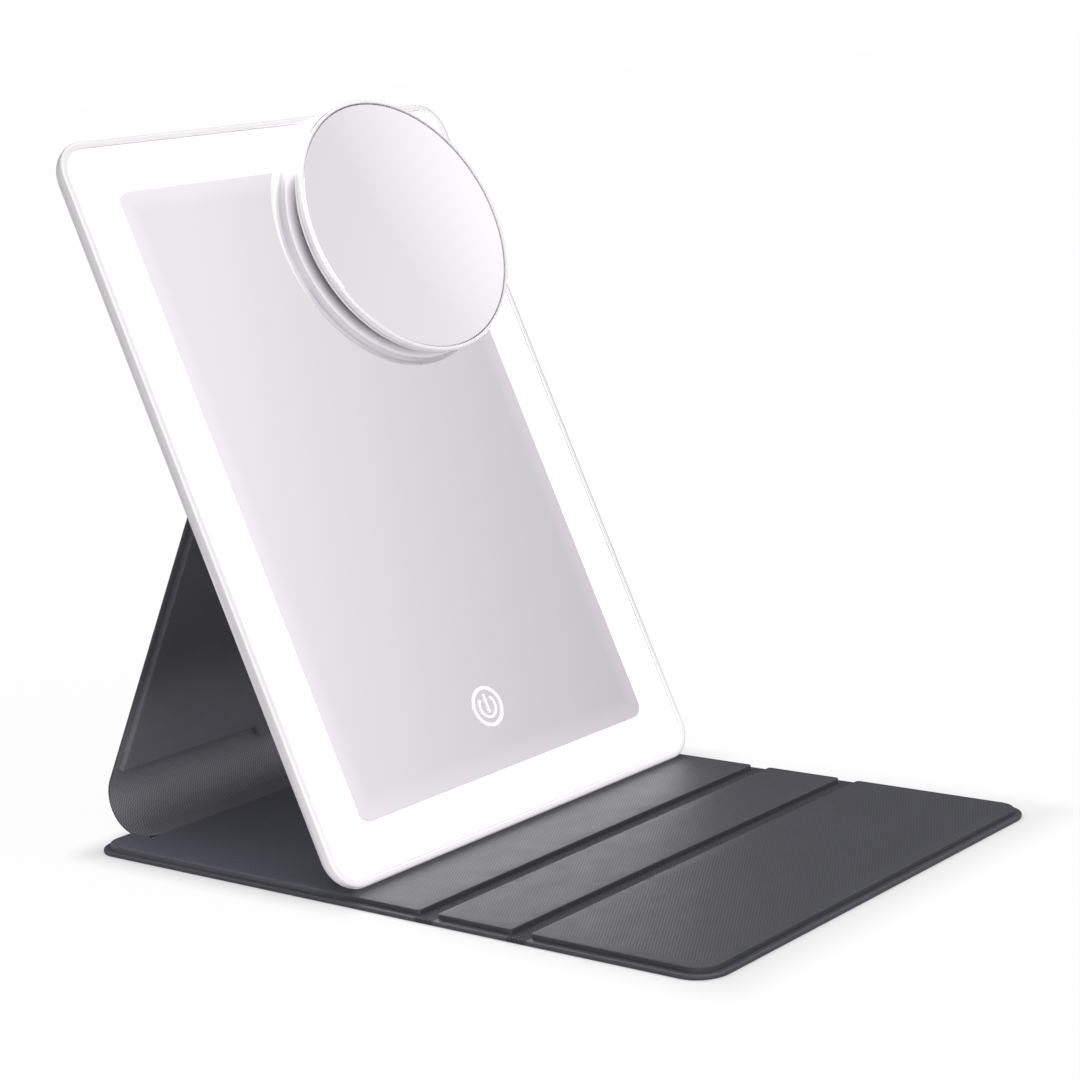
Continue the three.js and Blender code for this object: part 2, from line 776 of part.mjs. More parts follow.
function baseLining() {
  const notchFront = spineCentre.x - SPINE_FLAP - CROSS_GAP;
  const notch = box(
    -LEG_W / 2 - FIT, LEG_W / 2 + FIT, notchFront, BASE_REAR, BOARD_TOP, LINING_TOP + 1,
  );
  return combine(coverLining(baseY0, BASE_REAR, 0, BASE_CORNER_REAR), [], [notch]);
}

function steelLoop(grow) {
  return outline(barHalf + grow, steelY - STEEL_L / 2 - grow, steelY + STEEL_L / 2 + grow, 1);
}

function coverMagnetLoop(grow) {
  const y = (BASE_FRONT + flapFrontY1) / 2;
  return outline(barHalf + grow, y - STEEL_L / 2 - grow, y + STEEL_L / 2 + grow, 1);
}

function spineStrip() {
  const start = new THREE.Vector2(spineCentre.x - SPINE_FLAP, SPINE_LIFT);
  const sweep = 90 * RAD + lean;
  const moves = [[SPINE_FLAP, 0], [SPINE_R * sweep, sweep]];
  return across(ribbon(start, 0, moves, SKIN_T), LEG_W);
}

function foldStrip() {
  const up = new THREE.Vector2(-Math.sin(lean), Math.cos(lean));
  const start = legStart.clone().addScaledVector(up, legLength - foldTangent);
  const sweep = tilt + lean;
  const moves = [[FOLD_RUN, 0], [FOLD_R * sweep, -sweep], [FOLD_RUN, 0]];
  return across(ribbon(start, 90 * RAD + lean, moves, SKIN_T), LEG_W);
}

// Leg pieces, in the leg's frame: y up the leg, z towards the mirror
function legLining() {
  const half = LEG_W / 2 - LEG_MARGIN;
  const z0 = SKIN_T + LEG_BOARD_T + 2 * LAYER_GAP;
  const loop = outline(half, CREASE, legLength - foldTangent - LEG_MARGIN, 1);
  const sheet = plate(loop, z0, z0 + LEG_LINING_T);
  const tongue = plate([
    new THREE.Vector2(-TONGUE_LOW_W / 2, CREASE - TONGUE_L),
    new THREE.Vector2(TONGUE_LOW_W / 2, CREASE - TONGUE_L),
    new THREE.Vector2(TONGUE_TOP_W / 2, CREASE + FIT),
    new THREE.Vector2(-TONGUE_TOP_W / 2, CREASE + FIT),
  ], z0, z0 + LEG_LINING_T);
  return combine(sheet, [tongue], []);
}

function legBoard() {
  const half = LEG_W / 2 - LEG_MARGIN;
  const z0 = SKIN_T + LAYER_GAP;
  return plate(outline(half, CREASE, legLength - foldTangent - LEG_MARGIN, 1), z0, z0 + LEG_BOARD_T);
}

function legSkin() {
  return plate(outline(LEG_W / 2, FIT, legLength - foldTangent - FIT, 0), 0, SKIN_T);
}

// Back panel pieces, in the mirror panel's frame
function backLayer(margin, depth0, depth1) {
  const loop = outline(
    LEG_W / 2 - margin, foldY + foldTangent + FIT + margin, PANEL_H - BACK_TOP - margin,
    margin > 0 ? 2 : 0, BACK_CORNER - margin,
  );
  return plate(loop, -depth1, -depth0);
}

// The scene
const mirror = new THREE.Group();
mirror.name = 'makeup_mirror';

const base = new THREE.Group();
mirror.add(base);
part(base, 'base_skin', SKIN, coverSkin(baseY0, BASE_REAR, 0, BASE_CORNER_REAR));
part(base, 'base_board', BOARD, coverBoard(baseY0, BASE_REAR, 0, BASE_CORNER_REAR, [steelLoop(CROSS_GAP)]));
part(base, 'base_lining', LINING, baseLining());
part(base, 'foot_steel', STEEL, plate(steelLoop(0), SKIN_T + LAYER_GAP, BOARD_TOP));
part(base, 'groove_strip_rear', SKIN, grooveStrip(GROOVE_REAR_Y));
part(base, 'flap_rear_skin', SKIN, coverSkin(flapRearY0, flapRearY1, 0, 0));
part(base, 'flap_rear_board', BOARD, coverBoard(flapRearY0, flapRearY1, 0, 0, []));
part(base, 'flap_rear_lining', LINING, coverLining(flapRearY0, flapRearY1, 0, 0));
part(base, 'groove_strip_front', SKIN, grooveStrip(GROOVE_FRONT_Y));
part(base, 'flap_front_skin', SKIN, coverSkin(BASE_FRONT, flapFrontY1, BASE_CORNER_FRONT, 0));
part(base, 'flap_front_board', BOARD, coverBoard(
  BASE_FRONT, flapFrontY1, BASE_CORNER_FRONT, 0, [coverMagnetLoop(CROSS_GAP)],
));
part(base, 'flap_front_lining', LINING, coverLining(BASE_FRONT, flapFrontY1, BASE_CORNER_FRONT, 0));
part(base, 'cover_magnet', MAGNET, plate(coverMagnetLoop(0), SKIN_T + LAYER_GAP, BOARD_TOP));
part(base, 'spine_strip', SKIN, spineStrip());
part(base, 'fold_strip', SKIN, foldStrip());

const leg = new THREE.Group();
leg.position.set(0, legStart.x, legStart.y);
leg.rotation.x = 90 * RAD + lean;
mirror.add(leg);
part(leg, 'leg_skin', SKIN, legSkin());
part(leg, 'leg_board', BOARD, legBoard());
part(leg, 'leg_lining', LINING, legLining());

const panel = new THREE.Group();
panel.position.set(0, foot.x, foot.y);
panel.rotation.x = 90 * RAD - tilt;
mirror.add(panel);
part(panel, 'front_frame', WHITE_PLASTIC, frontFrame());
part(panel, 'rear_shell', WHITE_PLASTIC, rearShell());
part(panel, 'diffuser_band', OPAL, diffuser());
part(panel, 'mirror_glass', SILVER, mirrorGlass());
part(panel, 'mirror_tape', FOAM, mirrorTape());
part(panel, 'mirror_backing', STEEL, mirrorBacking());
part(panel, 'touch_ring', SYMBOL, touchRing());
part(panel, 'touch_arc', SYMBOL, touchArc());
part(panel, 'touch_stroke', SYMBOL, touchStroke());
part(panel, 'touch_pad', STEEL, touchPad());
part(panel, 'touch_spring', STEEL, touchSpring());
part(panel, 'light_tray', WHITE_PLASTIC, lightTray());
screwSpots().forEach(([x, y], i) => part(panel, `tray_screw_${i + 1}`, STEEL, trayScrew(x, y)));
part(panel, 'led_strip_left', CIRCUIT, ledStrip('left'));
part(panel, 'led_strip_right', CIRCUIT, ledStrip('right'));
part(panel, 'led_strip_top', CIRCUIT, ledStrip('top'));
part(panel, 'led_strip_bottom', CIRCUIT, ledStrip('bottom'));
part(panel, 'control_board', CIRCUIT, controlBoard());
part(panel, 'battery_pack', CELL, batteryPack());
part(panel, 'battery_lead', CHIP, batteryLead());
part(panel, 'charge_port', STEEL, chargePort());
part(panel, 'port_board', CIRCUIT, portBoard());
part(panel, 'foot_magnet', MAGNET, footMagnet());
part(panel, 'back_adhesive', FOAM, backLayer(5, PANEL_T + CROSS_GAP, PANEL_T + 0.5));
part(panel, 'back_board', BOARD, backLayer(LEG_MARGIN, PANEL_T + 0.6, PANEL_T + 1.8));
part(panel, 'back_skin', SKIN, backLayer(0, backDepth - SKIN_T, backDepth));

const magnifier = new THREE.Group();
magnifier.position.set(
  PANEL_W / 2 + MAGNIFIER_OVER_X - MAGNIFIER_R,
  PANEL_H + MAGNIFIER_OVER_Y - MAGNIFIER_R,
  0,
);
panel.add(magnifier);
part(magnifier, 'magnifier_housing', WHITE_PLASTIC, magnifierHousing());
part(magnifier, 'magnifier_glass', SILVER, magnifierGlass());
part(magnifier, 'magnifier_foot', WHITE_PLASTIC, magnifierFoot());
[0, 1, 2].forEach((i) => part(magnifier, `magnifier_magnet_${i + 1}`, MAGNET, magnifierMagnet(i)));
part(magnifier, 'magnifier_pad', FOAM, magnifierPad());

mirror.updateMatrixWorld(true);

export default mirror;
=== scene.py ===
"""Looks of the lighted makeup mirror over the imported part: panel, round mirror and folding cover."""

import json
import math

import bpy
import numpy as np
from mathutils import Matrix, Vector

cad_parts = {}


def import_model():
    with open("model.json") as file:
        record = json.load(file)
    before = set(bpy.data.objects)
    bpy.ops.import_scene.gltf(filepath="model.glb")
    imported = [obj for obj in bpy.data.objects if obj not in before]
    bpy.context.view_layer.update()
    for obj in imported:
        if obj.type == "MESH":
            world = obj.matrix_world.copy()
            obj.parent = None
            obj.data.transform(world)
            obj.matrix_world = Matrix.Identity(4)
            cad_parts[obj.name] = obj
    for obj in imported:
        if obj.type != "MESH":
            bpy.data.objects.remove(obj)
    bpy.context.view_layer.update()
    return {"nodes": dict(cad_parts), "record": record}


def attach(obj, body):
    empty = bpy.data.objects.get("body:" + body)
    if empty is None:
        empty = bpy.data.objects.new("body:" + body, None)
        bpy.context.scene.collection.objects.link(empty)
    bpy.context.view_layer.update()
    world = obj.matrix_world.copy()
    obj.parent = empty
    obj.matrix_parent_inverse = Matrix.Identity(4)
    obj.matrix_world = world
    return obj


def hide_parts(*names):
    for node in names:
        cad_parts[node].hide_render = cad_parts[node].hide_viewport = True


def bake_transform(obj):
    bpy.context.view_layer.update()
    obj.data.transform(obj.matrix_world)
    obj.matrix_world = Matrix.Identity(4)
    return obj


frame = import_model()
nodes = frame["nodes"]

MM = 0.001

# Sizes in millimetres, the same as the part's
PANEL_W, PANEL_H, PANEL_T = 180.0, 250.0, 10.0
TILT = math.radians(23.4)
FOOT = (0.1, 4.2048)
CORNER, CORNER_SHRINK = 10.8, 0.6
EDGE_ROUND, TAPER_START, TAPER_IN, WALL = 0.8, 0.9, 11.0, 1.2
LIP_W, FRAME_DEPTH = 2.1, 2.8
BAND_W, WINDOW_CORNER, GLASS_DROP, GLASS_T = 18.2, 4.75, 0.4, 2.0
ROUND_X, ROUND_Y, ROUND_R = 43.7, 204.65, 46.66
ROUND_TOP, ROUND_BACK, ROUND_RIM, ROUND_FOOT_R = 7.0, 2.3, 1.26, 30.0
ROUND_DROP, ROUND_SAG, ROUND_GLASS_T, PAD_T = 0.4, 1.3, 1.4, 0.4
PORT_UP, PORT_DEPTH, PORT_HALF_W, PORT_HALF_T, PORT_CORNER = 19, 5.9, 4.8, 1.9, 1.2
BASE_W, BASE_FRONT, BASE_REAR = 177.2, -136.3, 117.07
SKIN_T, RIM_W, LINING_TOP = 0.8, 2.4, 3.1
GROOVE_W, GROOVE_REAR, GROOVE_FRONT = 7.2, -31.0, -67.1
LEG_W, LEG_MARGIN, LEAN = 146.4, 2.4, math.radians(28.46)
CREASE, TONGUE_END, TONGUE_HIGH_HALF, TONGUE_LOW_HALF = 3.8, -1.3, 7.8, 4.3
SPINE_R, SPINE_Y, SPINE_Z, SPINE_FLAP = 12.4, 112.2, 14.7, 8.2
LEG_FOOT = (SPINE_Y + SPINE_R * math.cos(LEAN), SPINE_Z + SPINE_R * math.sin(LEAN))
LEG_LENGTH, FOLD_Y, FOLD_TANGENT, FOLD_R, FOLD_RUN = 118.97, 137.38, 2.459, 3.0, 1.0
BACK_GAP = 18
HATCH_W, HATCH_L = 0.95, 3.9
PAINTED_REFLECTION_SHIFT = 8.1
SHEET_ROUND, LIP_ROUND = 0.35, 0.35


# Shader values as Python numbers
class Wire:
    """One output of a shader node; sums of wires add the nodes they need."""

    def __init__(self, tree, socket):
        self.tree = tree
        self.socket = socket

    def math(self, operation, *others):
        values = dict(enumerate((self,) + others))
        return self.tree.node("ShaderNodeMath", {"operation": operation}, values)

    def __add__(self, other):
        return self.math("ADD", other)

    __radd__ = __add__

    def __sub__(self, other):
        return self.math("SUBTRACT", other)

    def __rsub__(self, other):
        return (self * -1) + other

    def __mul__(self, other):
        return self.math("MULTIPLY", other)

    __rmul__ = __mul__

    def __abs__(self):
        return self.math("ABSOLUTE")

    def __pow__(self, other):
        return self.math("POWER", other)

    def sin(self):
        return self.math("SINE")

    def least(self, other):
        return self.math("MINIMUM", other)

    def most(self, other):
        return self.math("MAXIMUM", other)

    def step(self, low, high):
        """0 below low, 1 above high, smooth between."""
        settings = {"interpolation_type": "SMOOTHSTEP"}
        values = {"Value": self, "From Min": low, "From Max": high}
        return self.tree.node("ShaderNodeMapRange", settings, values)

    def axis(self, name):
        return self.tree.node("ShaderNodeSeparateXYZ", {}, {0: self}, name)

    def dot(self, vector):
        settings = {"operation": "DOT_PRODUCT"}
        return self.tree.node("ShaderNodeVectorMath", settings, {0: self, 1: vector}, "Value")

    def scaled(self, factors):
        settings = {"operation": "MULTIPLY"}
        return self.tree.node("ShaderNodeVectorMath", settings, {0: self, 1: factors})


class Tree:
    """The node tree of a material or world."""

    def __init__(self, owner):
        owner.use_nodes = True
        self.nodes = owner.node_tree.nodes
        self.links = owner.node_tree.links
        self.nodes.clear()

    def node(self, kind, settings, values, output=0):
        made = self.nodes.new(kind)
        for name, value in settings.items():
            setattr(made, name, value)
        for key, value in values.items():
            socket = made.inputs[key]
            if isinstance(value, Wire):
                self.links.new(value.socket, socket)
            else:
                socket.default_value = value
        return Wire(self, made.outputs[output])

    def mix(self, factor, first, second):
        values = {0: factor, 6: rgba(first), 7: rgba(second)}
        return self.node("ShaderNodeMix", {"data_type": "RGBA"}, values, 2)

    def place(self, output="Object"):
        return self.node("ShaderNodeTexCoord", {}, {}, output)

    def noise(self, vector, scale, detail=3.0, roughness=0.5):
        values = {"Vector": vector, "Scale": scale, "Detail": detail, "Roughness": roughness}
        return self.node("ShaderNodeTexNoise", {}, values)

    def bump(self, height, distance, strength=1.0):
        values = {"Height": height, "Distance": distance, "Strength": strength}
        return self.node("ShaderNodeBump", {}, values, "Normal")

    def surface(self, shader):
        self.node_output("ShaderNodeOutputMaterial", shader)

    def node_output(self, kind, shader):
        made = self.nodes.new(kind)
        self.links.new(shader.socket, made.inputs["Surface"])


def rgba(colour):
    return colour if isinstance(colour, Wire) else (*colour, 1.0)


def finish(name, **values):
    """A material with a Principled surface; values are numbers, colours or functions of its tree."""
    material = bpy.data.materials.new(name)
    tree = Tree(material)
    built = {}
    for key, value in values.items():
        value = value(tree) if callable(value) else value
        socket = key.replace("_", " ").title().replace("Ior", "IOR")
        built[socket] = rgba(value) if isinstance(value, tuple) else value
    tree.surface(tree.node("ShaderNodeBsdfPrincipled", {}, built, "BSDF"))
    return material


# Cover skin: satin grey sheet with a fine diagonal hatch, like cross-grained leather
def emboss(tree):
    across = tree.place("UV")
    u = across.axis("X")
    v = across.axis("Y")
    turn = math.pi * math.sqrt(2)
    return ((u - v) * (turn / HATCH_W)).sin() * ((u + v) * (turn / HATCH_L)).sin() * 0.5 + 0.5


def cover_height(tree):
    grain = tree.noise(tree.place("UV"), 0.9, 4.0, 0.6)
    waves = tree.noise(tree.place("UV"), 0.035, 2.0)
    return emboss(tree) * 1.4 + grain * 0.5 + waves * 6


def cover_finish(name, colour, roughness, painted_light_ramp=None, gleam=0.42):
    """Cover material; a ramp, if given, paints light: an axis, where the tone starts and stops growing
    lighter, and its gain.
    """

    def shade(tree):
        cloudy = tree.noise(tree.place("UV"), 0.05, 3.0)
        dots = emboss(tree)
        deep = tuple(c * 0.35 for c in colour)
        pale = tuple(c * 1.65 for c in colour)
        tone = tree.mix(dots * 0.85 + cloudy * 0.15, deep, pale)
        if painted_light_ramp is None:
            return tone
        axis, start, stop, gain = painted_light_ramp
        level = tree.place().axis(axis).step(start, stop) * (gain - 1) + 1
        return tone.scaled(tree.node("ShaderNodeCombineXYZ", {}, {0: level, 1: level, 2: level}))

    def gloss(tree):
        return tree.noise(tree.place("UV"), 0.12, 4.0) * 0.12 + roughness - emboss(tree) * 0.12

    return finish(
        name,
        base_color=shade,
        roughness=gloss,
        normal=lambda tree: tree.bump(cover_height(tree), 0.00005, 0.9),
        specular_ior_level=gleam,
    )


COVER_SKIN = cover_finish("cover_skin_grain", (0.037, 0.038, 0.047), 0.50)
COVER_LINING = cover_finish("cover_lining_grain", (0.028, 0.029, 0.037), 0.56)
# Painted light: the base lining grows lighter behind the mirror; the spine and leg linings are light,
# the spine's lighter higher up and the leg's lower down, where panel and leg shade them.
BASE_LINING_PAINTED_LIGHT = cover_finish("cover_base_grain_painted_light", (0.028, 0.029, 0.036), 0.56, ("Y", -0.003, 0.02, 2.7))
BEND_LINING_PAINTED_LIGHT = cover_finish("cover_bend_grain_painted_light", (0.126, 0.126, 0.140), 0.50, ("Z", 0.003, 0.016, 1.6))
LEG_LINING_PAINTED_LIGHT = cover_finish("cover_leg_grain_painted_light", (0.055, 0.056, 0.063), 0.50, ("Z", 0.07, 0.02, 3.4))
GROOVE_SKIN = cover_finish("cover_groove_grain", (0.024, 0.023, 0.031), 0.74, gleam=0.30)


def speckle(scale, low, high):
    """Roughness that wanders between two values."""
    return lambda tree: tree.noise(tree.place(), scale, 4.0) * (high - low) + low


def fine_bump(scale, distance):
    return lambda tree: tree.bump(tree.noise(tree.place(), scale, 4.0), distance)


def tinted(colour, scale, spread):
    """A colour that wanders a little in brightness."""
    deep = tuple(c * (1 - spread) for c in colour)
    pale = tuple(min(c * (1 + spread), 1.0) for c in colour)
    return lambda tree: tree.mix(tree.noise(tree.place(), scale, 3.0), deep, pale)


def panel_up(tree):
    """Distance in metres up the panel from its foot."""
    foot = FOOT[0] * math.sin(TILT) + FOOT[1] * math.cos(TILT)
    return tree.place().dot((0.0, math.sin(TILT), math.cos(TILT))) - foot * MM


def panel_inset(tree, inset, radius):
    """Distance in metres inwards from an outline on the panel: a rectangle with rounded corners."""
    x = abs(tree.place().axis("X")) - (PANEL_W / 2 - inset - radius) * MM
    y = abs(panel_up(tree) - PANEL_H / 2 * MM) - (PANEL_H / 2 - inset - radius) * MM
    reach = (x.most(0.0) ** 2.0 + y.most(0.0) ** 2.0) ** 0.5
    return radius * MM - reach - x.most(y).least(0.0)


def panel_depth(tree):
    """Distance in metres behind the front of the panel."""
    front = FOOT[0] * -math.cos(TILT) + FOOT[1] * math.sin(TILT)
    return front * MM - tree.place().dot((0.0, -math.cos(TILT), math.sin(TILT)))


# Tones of the white plastic and the silver; the edge, side and seam tones are painted shade, the glow is
# painted light, and the pale silver is a painted reflection
FACE_TONE = (0.88, 0.863, 0.875)
EDGE_PAINTED_SHADE = (0.50, 0.49, 0.50)
SIDE_PAINTED_SHADE = (0.70, 0.676, 0.705)
DEEP_SIDE_PAINTED_SHADE = (0.48, 0.46, 0.485)
BACK_TONE = (0.84, 0.825, 0.84)
SEAM_PAINTED_SHADE = (0.50, 0.485, 0.50)
PAINTED_GLOW = (0.52, 0.50, 0.53)
UNLIT = (0.0, 0.0, 0.0)
SILVER = (0.795, 0.772, 0.80)
PAINTED_REFLECTION_SILVER = (0.985, 0.965, 0.99)

# Where a tone, painted shade or painted glow starts and stops changing, in metres: behind the face, up
# the panel, across
FACE_EDGE = (0.00005, 0.0006)
SIDE_DARKENS = (0.0029, 0.0045)
BACK_EDGE = (0.0070, 0.0092)
RIGHT_SIDE = (0.078, 0.086)
WALL_GLOW_TOP = (0.103, 0.125)
WEDGE_GLOW_TOP = (0.085, 0.125)
WEDGE_GLOW_SIDE = (0.056, 0.071)


def on_back(tree):
    """0 on the front and sides of the panel, 1 on its flat back."""
    return panel_depth(tree).step(*BACK_EDGE)


def round_reach(tree):
    """Distance in metres from the round mirror's axis."""
    x = tree.place().axis("X") - ROUND_X * MM
    y = panel_up(tree) - ROUND_Y * MM
    return (x ** 2.0 + y ** 2.0) ** 0.5


def frame_shade(tree):
    """White face and back; painted shade greys the side, darker further behind the face, and draws a
    thin grey line on the right edge.
    """
    depth = panel_depth(tree)
    right_side = tree.place().axis("X").step(*RIGHT_SIDE)
    line = right_side * (1 - panel_inset(tree, 0.0, CORNER).step(0.0005, 0.0011))
    face = tree.mix(line, FACE_TONE, EDGE_PAINTED_SHADE)
    side = tree.mix(depth.step(*SIDE_DARKENS), SIDE_PAINTED_SHADE, DEEP_SIDE_PAINTED_SHADE)
    side = tree.mix(on_back(tree), side, BACK_TONE)
    return tree.mix(depth.step(*FACE_EDGE), face, side)


def painted_foot_light(tree):
    """Painted light on the white plastic: a glow low on the front and sides, on the lower side walls,
    under the foot, and on the back where the leg shades it.
    """
    up = panel_up(tree)
    low = 1 - up.step(0.0, 0.07)
    depth = panel_depth(tree)
    back = on_back(tree)
    wall = (1 - up.step(*WALL_GLOW_TOP)) * depth.step(0.0025, 0.0055)
    inside = 1 - abs(tree.place().axis("X")).step(*WEDGE_GLOW_SIDE)
    wedge = (1 - up.step(*WEDGE_GLOW_TOP)) * inside
    under = (1 - up.step(0.0006, 0.0016)) * depth.step(0.0004, 0.001)
    level = (low.most(wall * 2.5) * 0.27 * (1 - back)).most(under).most(wedge * back)
    return tree.mix(level, UNLIT, PAINTED_GLOW)


PLASTIC_GLOSS = speckle(300, 0.26, 0.30)
PLASTIC_GRAIN = fine_bump(1500, 0.0000006)
GLASS_GLOSS = speckle(60, 0.012, 0.022)

WHITE = finish(
    "white_moulded_plastic",
    base_color=frame_shade,
    roughness=PLASTIC_GLOSS,
    normal=PLASTIC_GRAIN,
    coat_weight=0.25,
    coat_roughness=0.12,
    emission_color=painted_foot_light,
    emission_strength=1.0,
)


def painted_wall_reflection(tree):
    """1 on the crescent of glass that gets a painted reflection of the round mirror's white wall."""
    x = tree.place().axis("X") - (ROUND_X - PAINTED_REFLECTION_SHIFT) * MM
    y = panel_up(tree) - ROUND_Y * MM
    outer = 1 - ((x ** 2.0 + y ** 2.0) ** 0.5).step((ROUND_R - 0.5) * MM, (ROUND_R + 0.1) * MM)
    return outer * round_reach(tree).step((ROUND_R - 1.2) * MM, (ROUND_R + 2.8) * MM)


def glass_shade(tree):
    """Silver, and a lighter silver on the crescent: a painted reflection."""
    return tree.mix(painted_wall_reflection(tree), SILVER, PAINTED_REFLECTION_SILVER)


def glass_glow(tree):
    """Painted light: a glow that stands in for the light the band throws on the edge of the glass."""
    glow = 1 - panel_inset(tree, BAND_W, WINDOW_CORNER).step(0.0, 0.009)
    return tree.mix(glow, UNLIT, (0.080, 0.055, 0.074))


def band_light(tree):
    """Full light on the front of the band, fading towards frame and glass; little on its sides."""
    fade = panel_inset(tree, 0.0, CORNER).step(0.0024, 0.0042)
    edge = (panel_inset(tree, BAND_W, WINDOW_CORNER) * -1).step(0.0, 0.002)
    front = 1 - panel_depth(tree).step(0.0005, 0.0007)
    return tree.mix(fade * edge * front, (0.1, 0.1, 0.1), (1.0, 0.995, 1.0))


def band_shade(tree):
    """Opal white with a faint grey line where it meets the frame."""
    rim = 1 - panel_inset(tree, 0.0, CORNER).step(0.0023, 0.0031)
    cloudy = tree.noise(tree.place(), 200, 3.0) * 0.03
    return tree.mix((rim - cloudy).most(0.0), (0.88, 0.87, 0.88), (0.60, 0.57, 0.61))


MIRROR = finish(
    "silvered_glass",
    base_color=glass_shade,
    metallic=1.0,
    roughness=GLASS_GLOSS,
    emission_color=glass_glow,
    emission_strength=1.0,
)


def round_shade(tree):
    """White lip; painted shade greys the wall, darker high up and towards its back, and draws a faint
    grey line where the lip meets the glass.
    """
    depth = panel_depth(tree)
    high = panel_up(tree).step((ROUND_Y - 45) * MM, (ROUND_Y + 5) * MM)
    grey = tree.mix(high, (0.80, 0.775, 0.805), (0.48, 0.465, 0.485))
    wall = tree.mix(depth.step(-0.0054, -0.0044), grey, grey.scaled((0.62, 0.62, 0.62)))
    rim = ROUND_R - ROUND_RIM
    seam = 1 - round_reach(tree).step((rim + 0.05) * MM, (rim + 0.2) * MM)
    lip = tree.mix(seam, (0.92, 0.90, 0.915), SEAM_PAINTED_SHADE)
    return tree.mix(depth.step(-0.0069, -0.0061), lip, tree.mix(seam, wall, SEAM_PAINTED_SHADE))


def round_glow(tree):
    """Painted light: a glow that stands in for the band's light getting into the gap behind the round
    mirror.
    """
    reach = round_reach(tree)
    behind = panel_depth(tree).step(-0.0052, -0.0030)
    rounding = reach.step((ROUND_R - 1.6) * MM, (ROUND_R - 0.9) * MM)
    under = reach.step(0.0395, 0.0455) * (1 - rounding * 0.68)
    return tree.mix(behind * under, UNLIT, (0.58, 0.565, 0.585))


ROUND_WHITE = finish(
    "white_round_housing",
    base_color=round_shade,
    roughness=PLASTIC_GLOSS,
    normal=PLASTIC_GRAIN,
    coat_weight=0.25,
    coat_roughness=0.12,
    emission_color=round_glow,
    emission_strength=1.0,
)
ROUND_MIRROR = finish(
    "silvered_hollow_glass",
    base_color=(0.965, 0.932, 0.972),
    metallic=1.0,
    roughness=GLASS_GLOSS,
)
BAND = finish(
    "lit_opal_band",
    base_color=band_shade,
    roughness=speckle(700, 0.38, 0.46),
    normal=PLASTIC_GRAIN,
    emission_color=band_light,
    emission_strength=3.4,
)
# Painted light: the printed symbol glows a little, so its sides also read white.
SYMBOL = finish(
    "symbol_white",
    base_color=tinted((0.93, 0.93, 0.93), 400, 0.02),
    roughness=0.5,
    emission_color=(1.0, 1.0, 1.0),
    emission_strength=0.25,
)


def brushed(tree):
    """Fine brush marks across a sheet."""
    marks = tree.noise(tree.place().scaled((60.0, 2200.0, 60.0)), 1.0, 2.0)
    return tree.bump(marks, 0.000006)


STEEL = finish(
    "plain_steel",
    base_color=tinted((0.46, 0.48, 0.49), 120, 0.08),
    metallic=1.0,
    roughness=speckle(300, 0.28, 0.42),
    normal=brushed,
)
NICKEL = finish(
    "nickel_plate",
    base_color=tinted((0.52, 0.52, 0.51), 200, 0.06),
    metallic=1.0,
    roughness=speckle(500, 0.16, 0.26),
)
FOAM = finish(
    "foam_tape_black",
    base_color=tinted((0.035, 0.035, 0.038), 900, 0.25),
    roughness=0.95,
    normal=fine_bump(4000, 0.00005),
)
BOARD = finish(
    "stiffening_board",
    base_color=tinted((0.20, 0.15, 0.10), 260, 0.16),
    roughness=0.92,
    normal=fine_bump(1500, 0.00003),
)
CIRCUIT = finish(
    "white_circuit_board",
    base_color=tinted((0.80, 0.80, 0.76), 160, 0.05),
    roughness=speckle(600, 0.38, 0.52),
    normal=fine_bump(1800, 0.00001),
)
LEAD = finish(
    "black_insulation",
    base_color=tinted((0.014, 0.014, 0.015), 500, 0.2),
    roughness=speckle(700, 0.4, 0.55),
)
CELL = finish(
    "cell_foil",
    base_color=tinted((0.36, 0.38, 0.40), 90, 0.07),
    metallic=0.7,
    roughness=speckle(200, 0.3, 0.45),
    normal=fine_bump(500, 0.00003),
)

BY_SLOT = {
    "white_plastic": WHITE,
    "mirror_silver": MIRROR,
    "opal_diffuser": BAND,
    "symbol_print": SYMBOL,
    "cover_skin": COVER_SKIN,
    "cover_lining": COVER_LINING,
    "cover_board": BOARD,
    "steel": STEEL,
    "magnet_nickel": NICKEL,
    "foam_tape": FOAM,
    "circuit_board": CIRCUIT,
    "chip_black": LEAD,
    "cell_wrap": CELL,
}
for row in frame["record"]["subparts"]:
    data = nodes[row["node"]].data
    data.materials.clear()
    data.materials.append(BY_SLOT[row["material_slot"]])


# Frames of reference, all in millimetres
def flat(x, y, z):
    return (x, y, z)


def on_panel(x, y, z):
    """x across, y up the face, z out of the face."""
    return (
        x,
        FOOT[0] + y * math.sin(TILT) - z * math.cos(TILT),
        FOOT[1] + y * math.cos(TILT) + z * math.sin(TILT),
    )


def on_leg(x, y, z):
    """x across, y up the leg, z from its outer face towards the mirror."""
    return (
        x,
        LEG_FOOT[0] - y * math.sin(LEAN) - z * math.cos(LEAN),
        LEG_FOOT[1] + y * math.cos(LEAN) - z * math.sin(LEAN),
    )


def on_round(x, y, z):
    return on_panel(ROUND_X + x, ROUND_Y + y, z)


# Mesh making
def build(name, points, faces, uvs, place=flat, crease=32):
    """An object from millimetre points in a frame, its faces and one UV for each face corner."""
    data = bpy.data.meshes.new(name)
    data.from_pydata([tuple(c * MM for c in place(*p)) for p in points], [], faces)
    layer = data.uv_layers.new(name="grain")
    for face, corners in zip(data.polygons, uvs):
        for loop, uv in zip(face.loop_indices, corners):
            layer.data[loop].uv = uv
        face.use_smooth = True
    data.update()
    data.validate()
    if crease is not None:
        data.set_sharp_from_angle(angle=math.radians(crease))
    made = bpy.data.objects.new(name, data)
    bpy.context.scene.collection.objects.link(made)
    return made


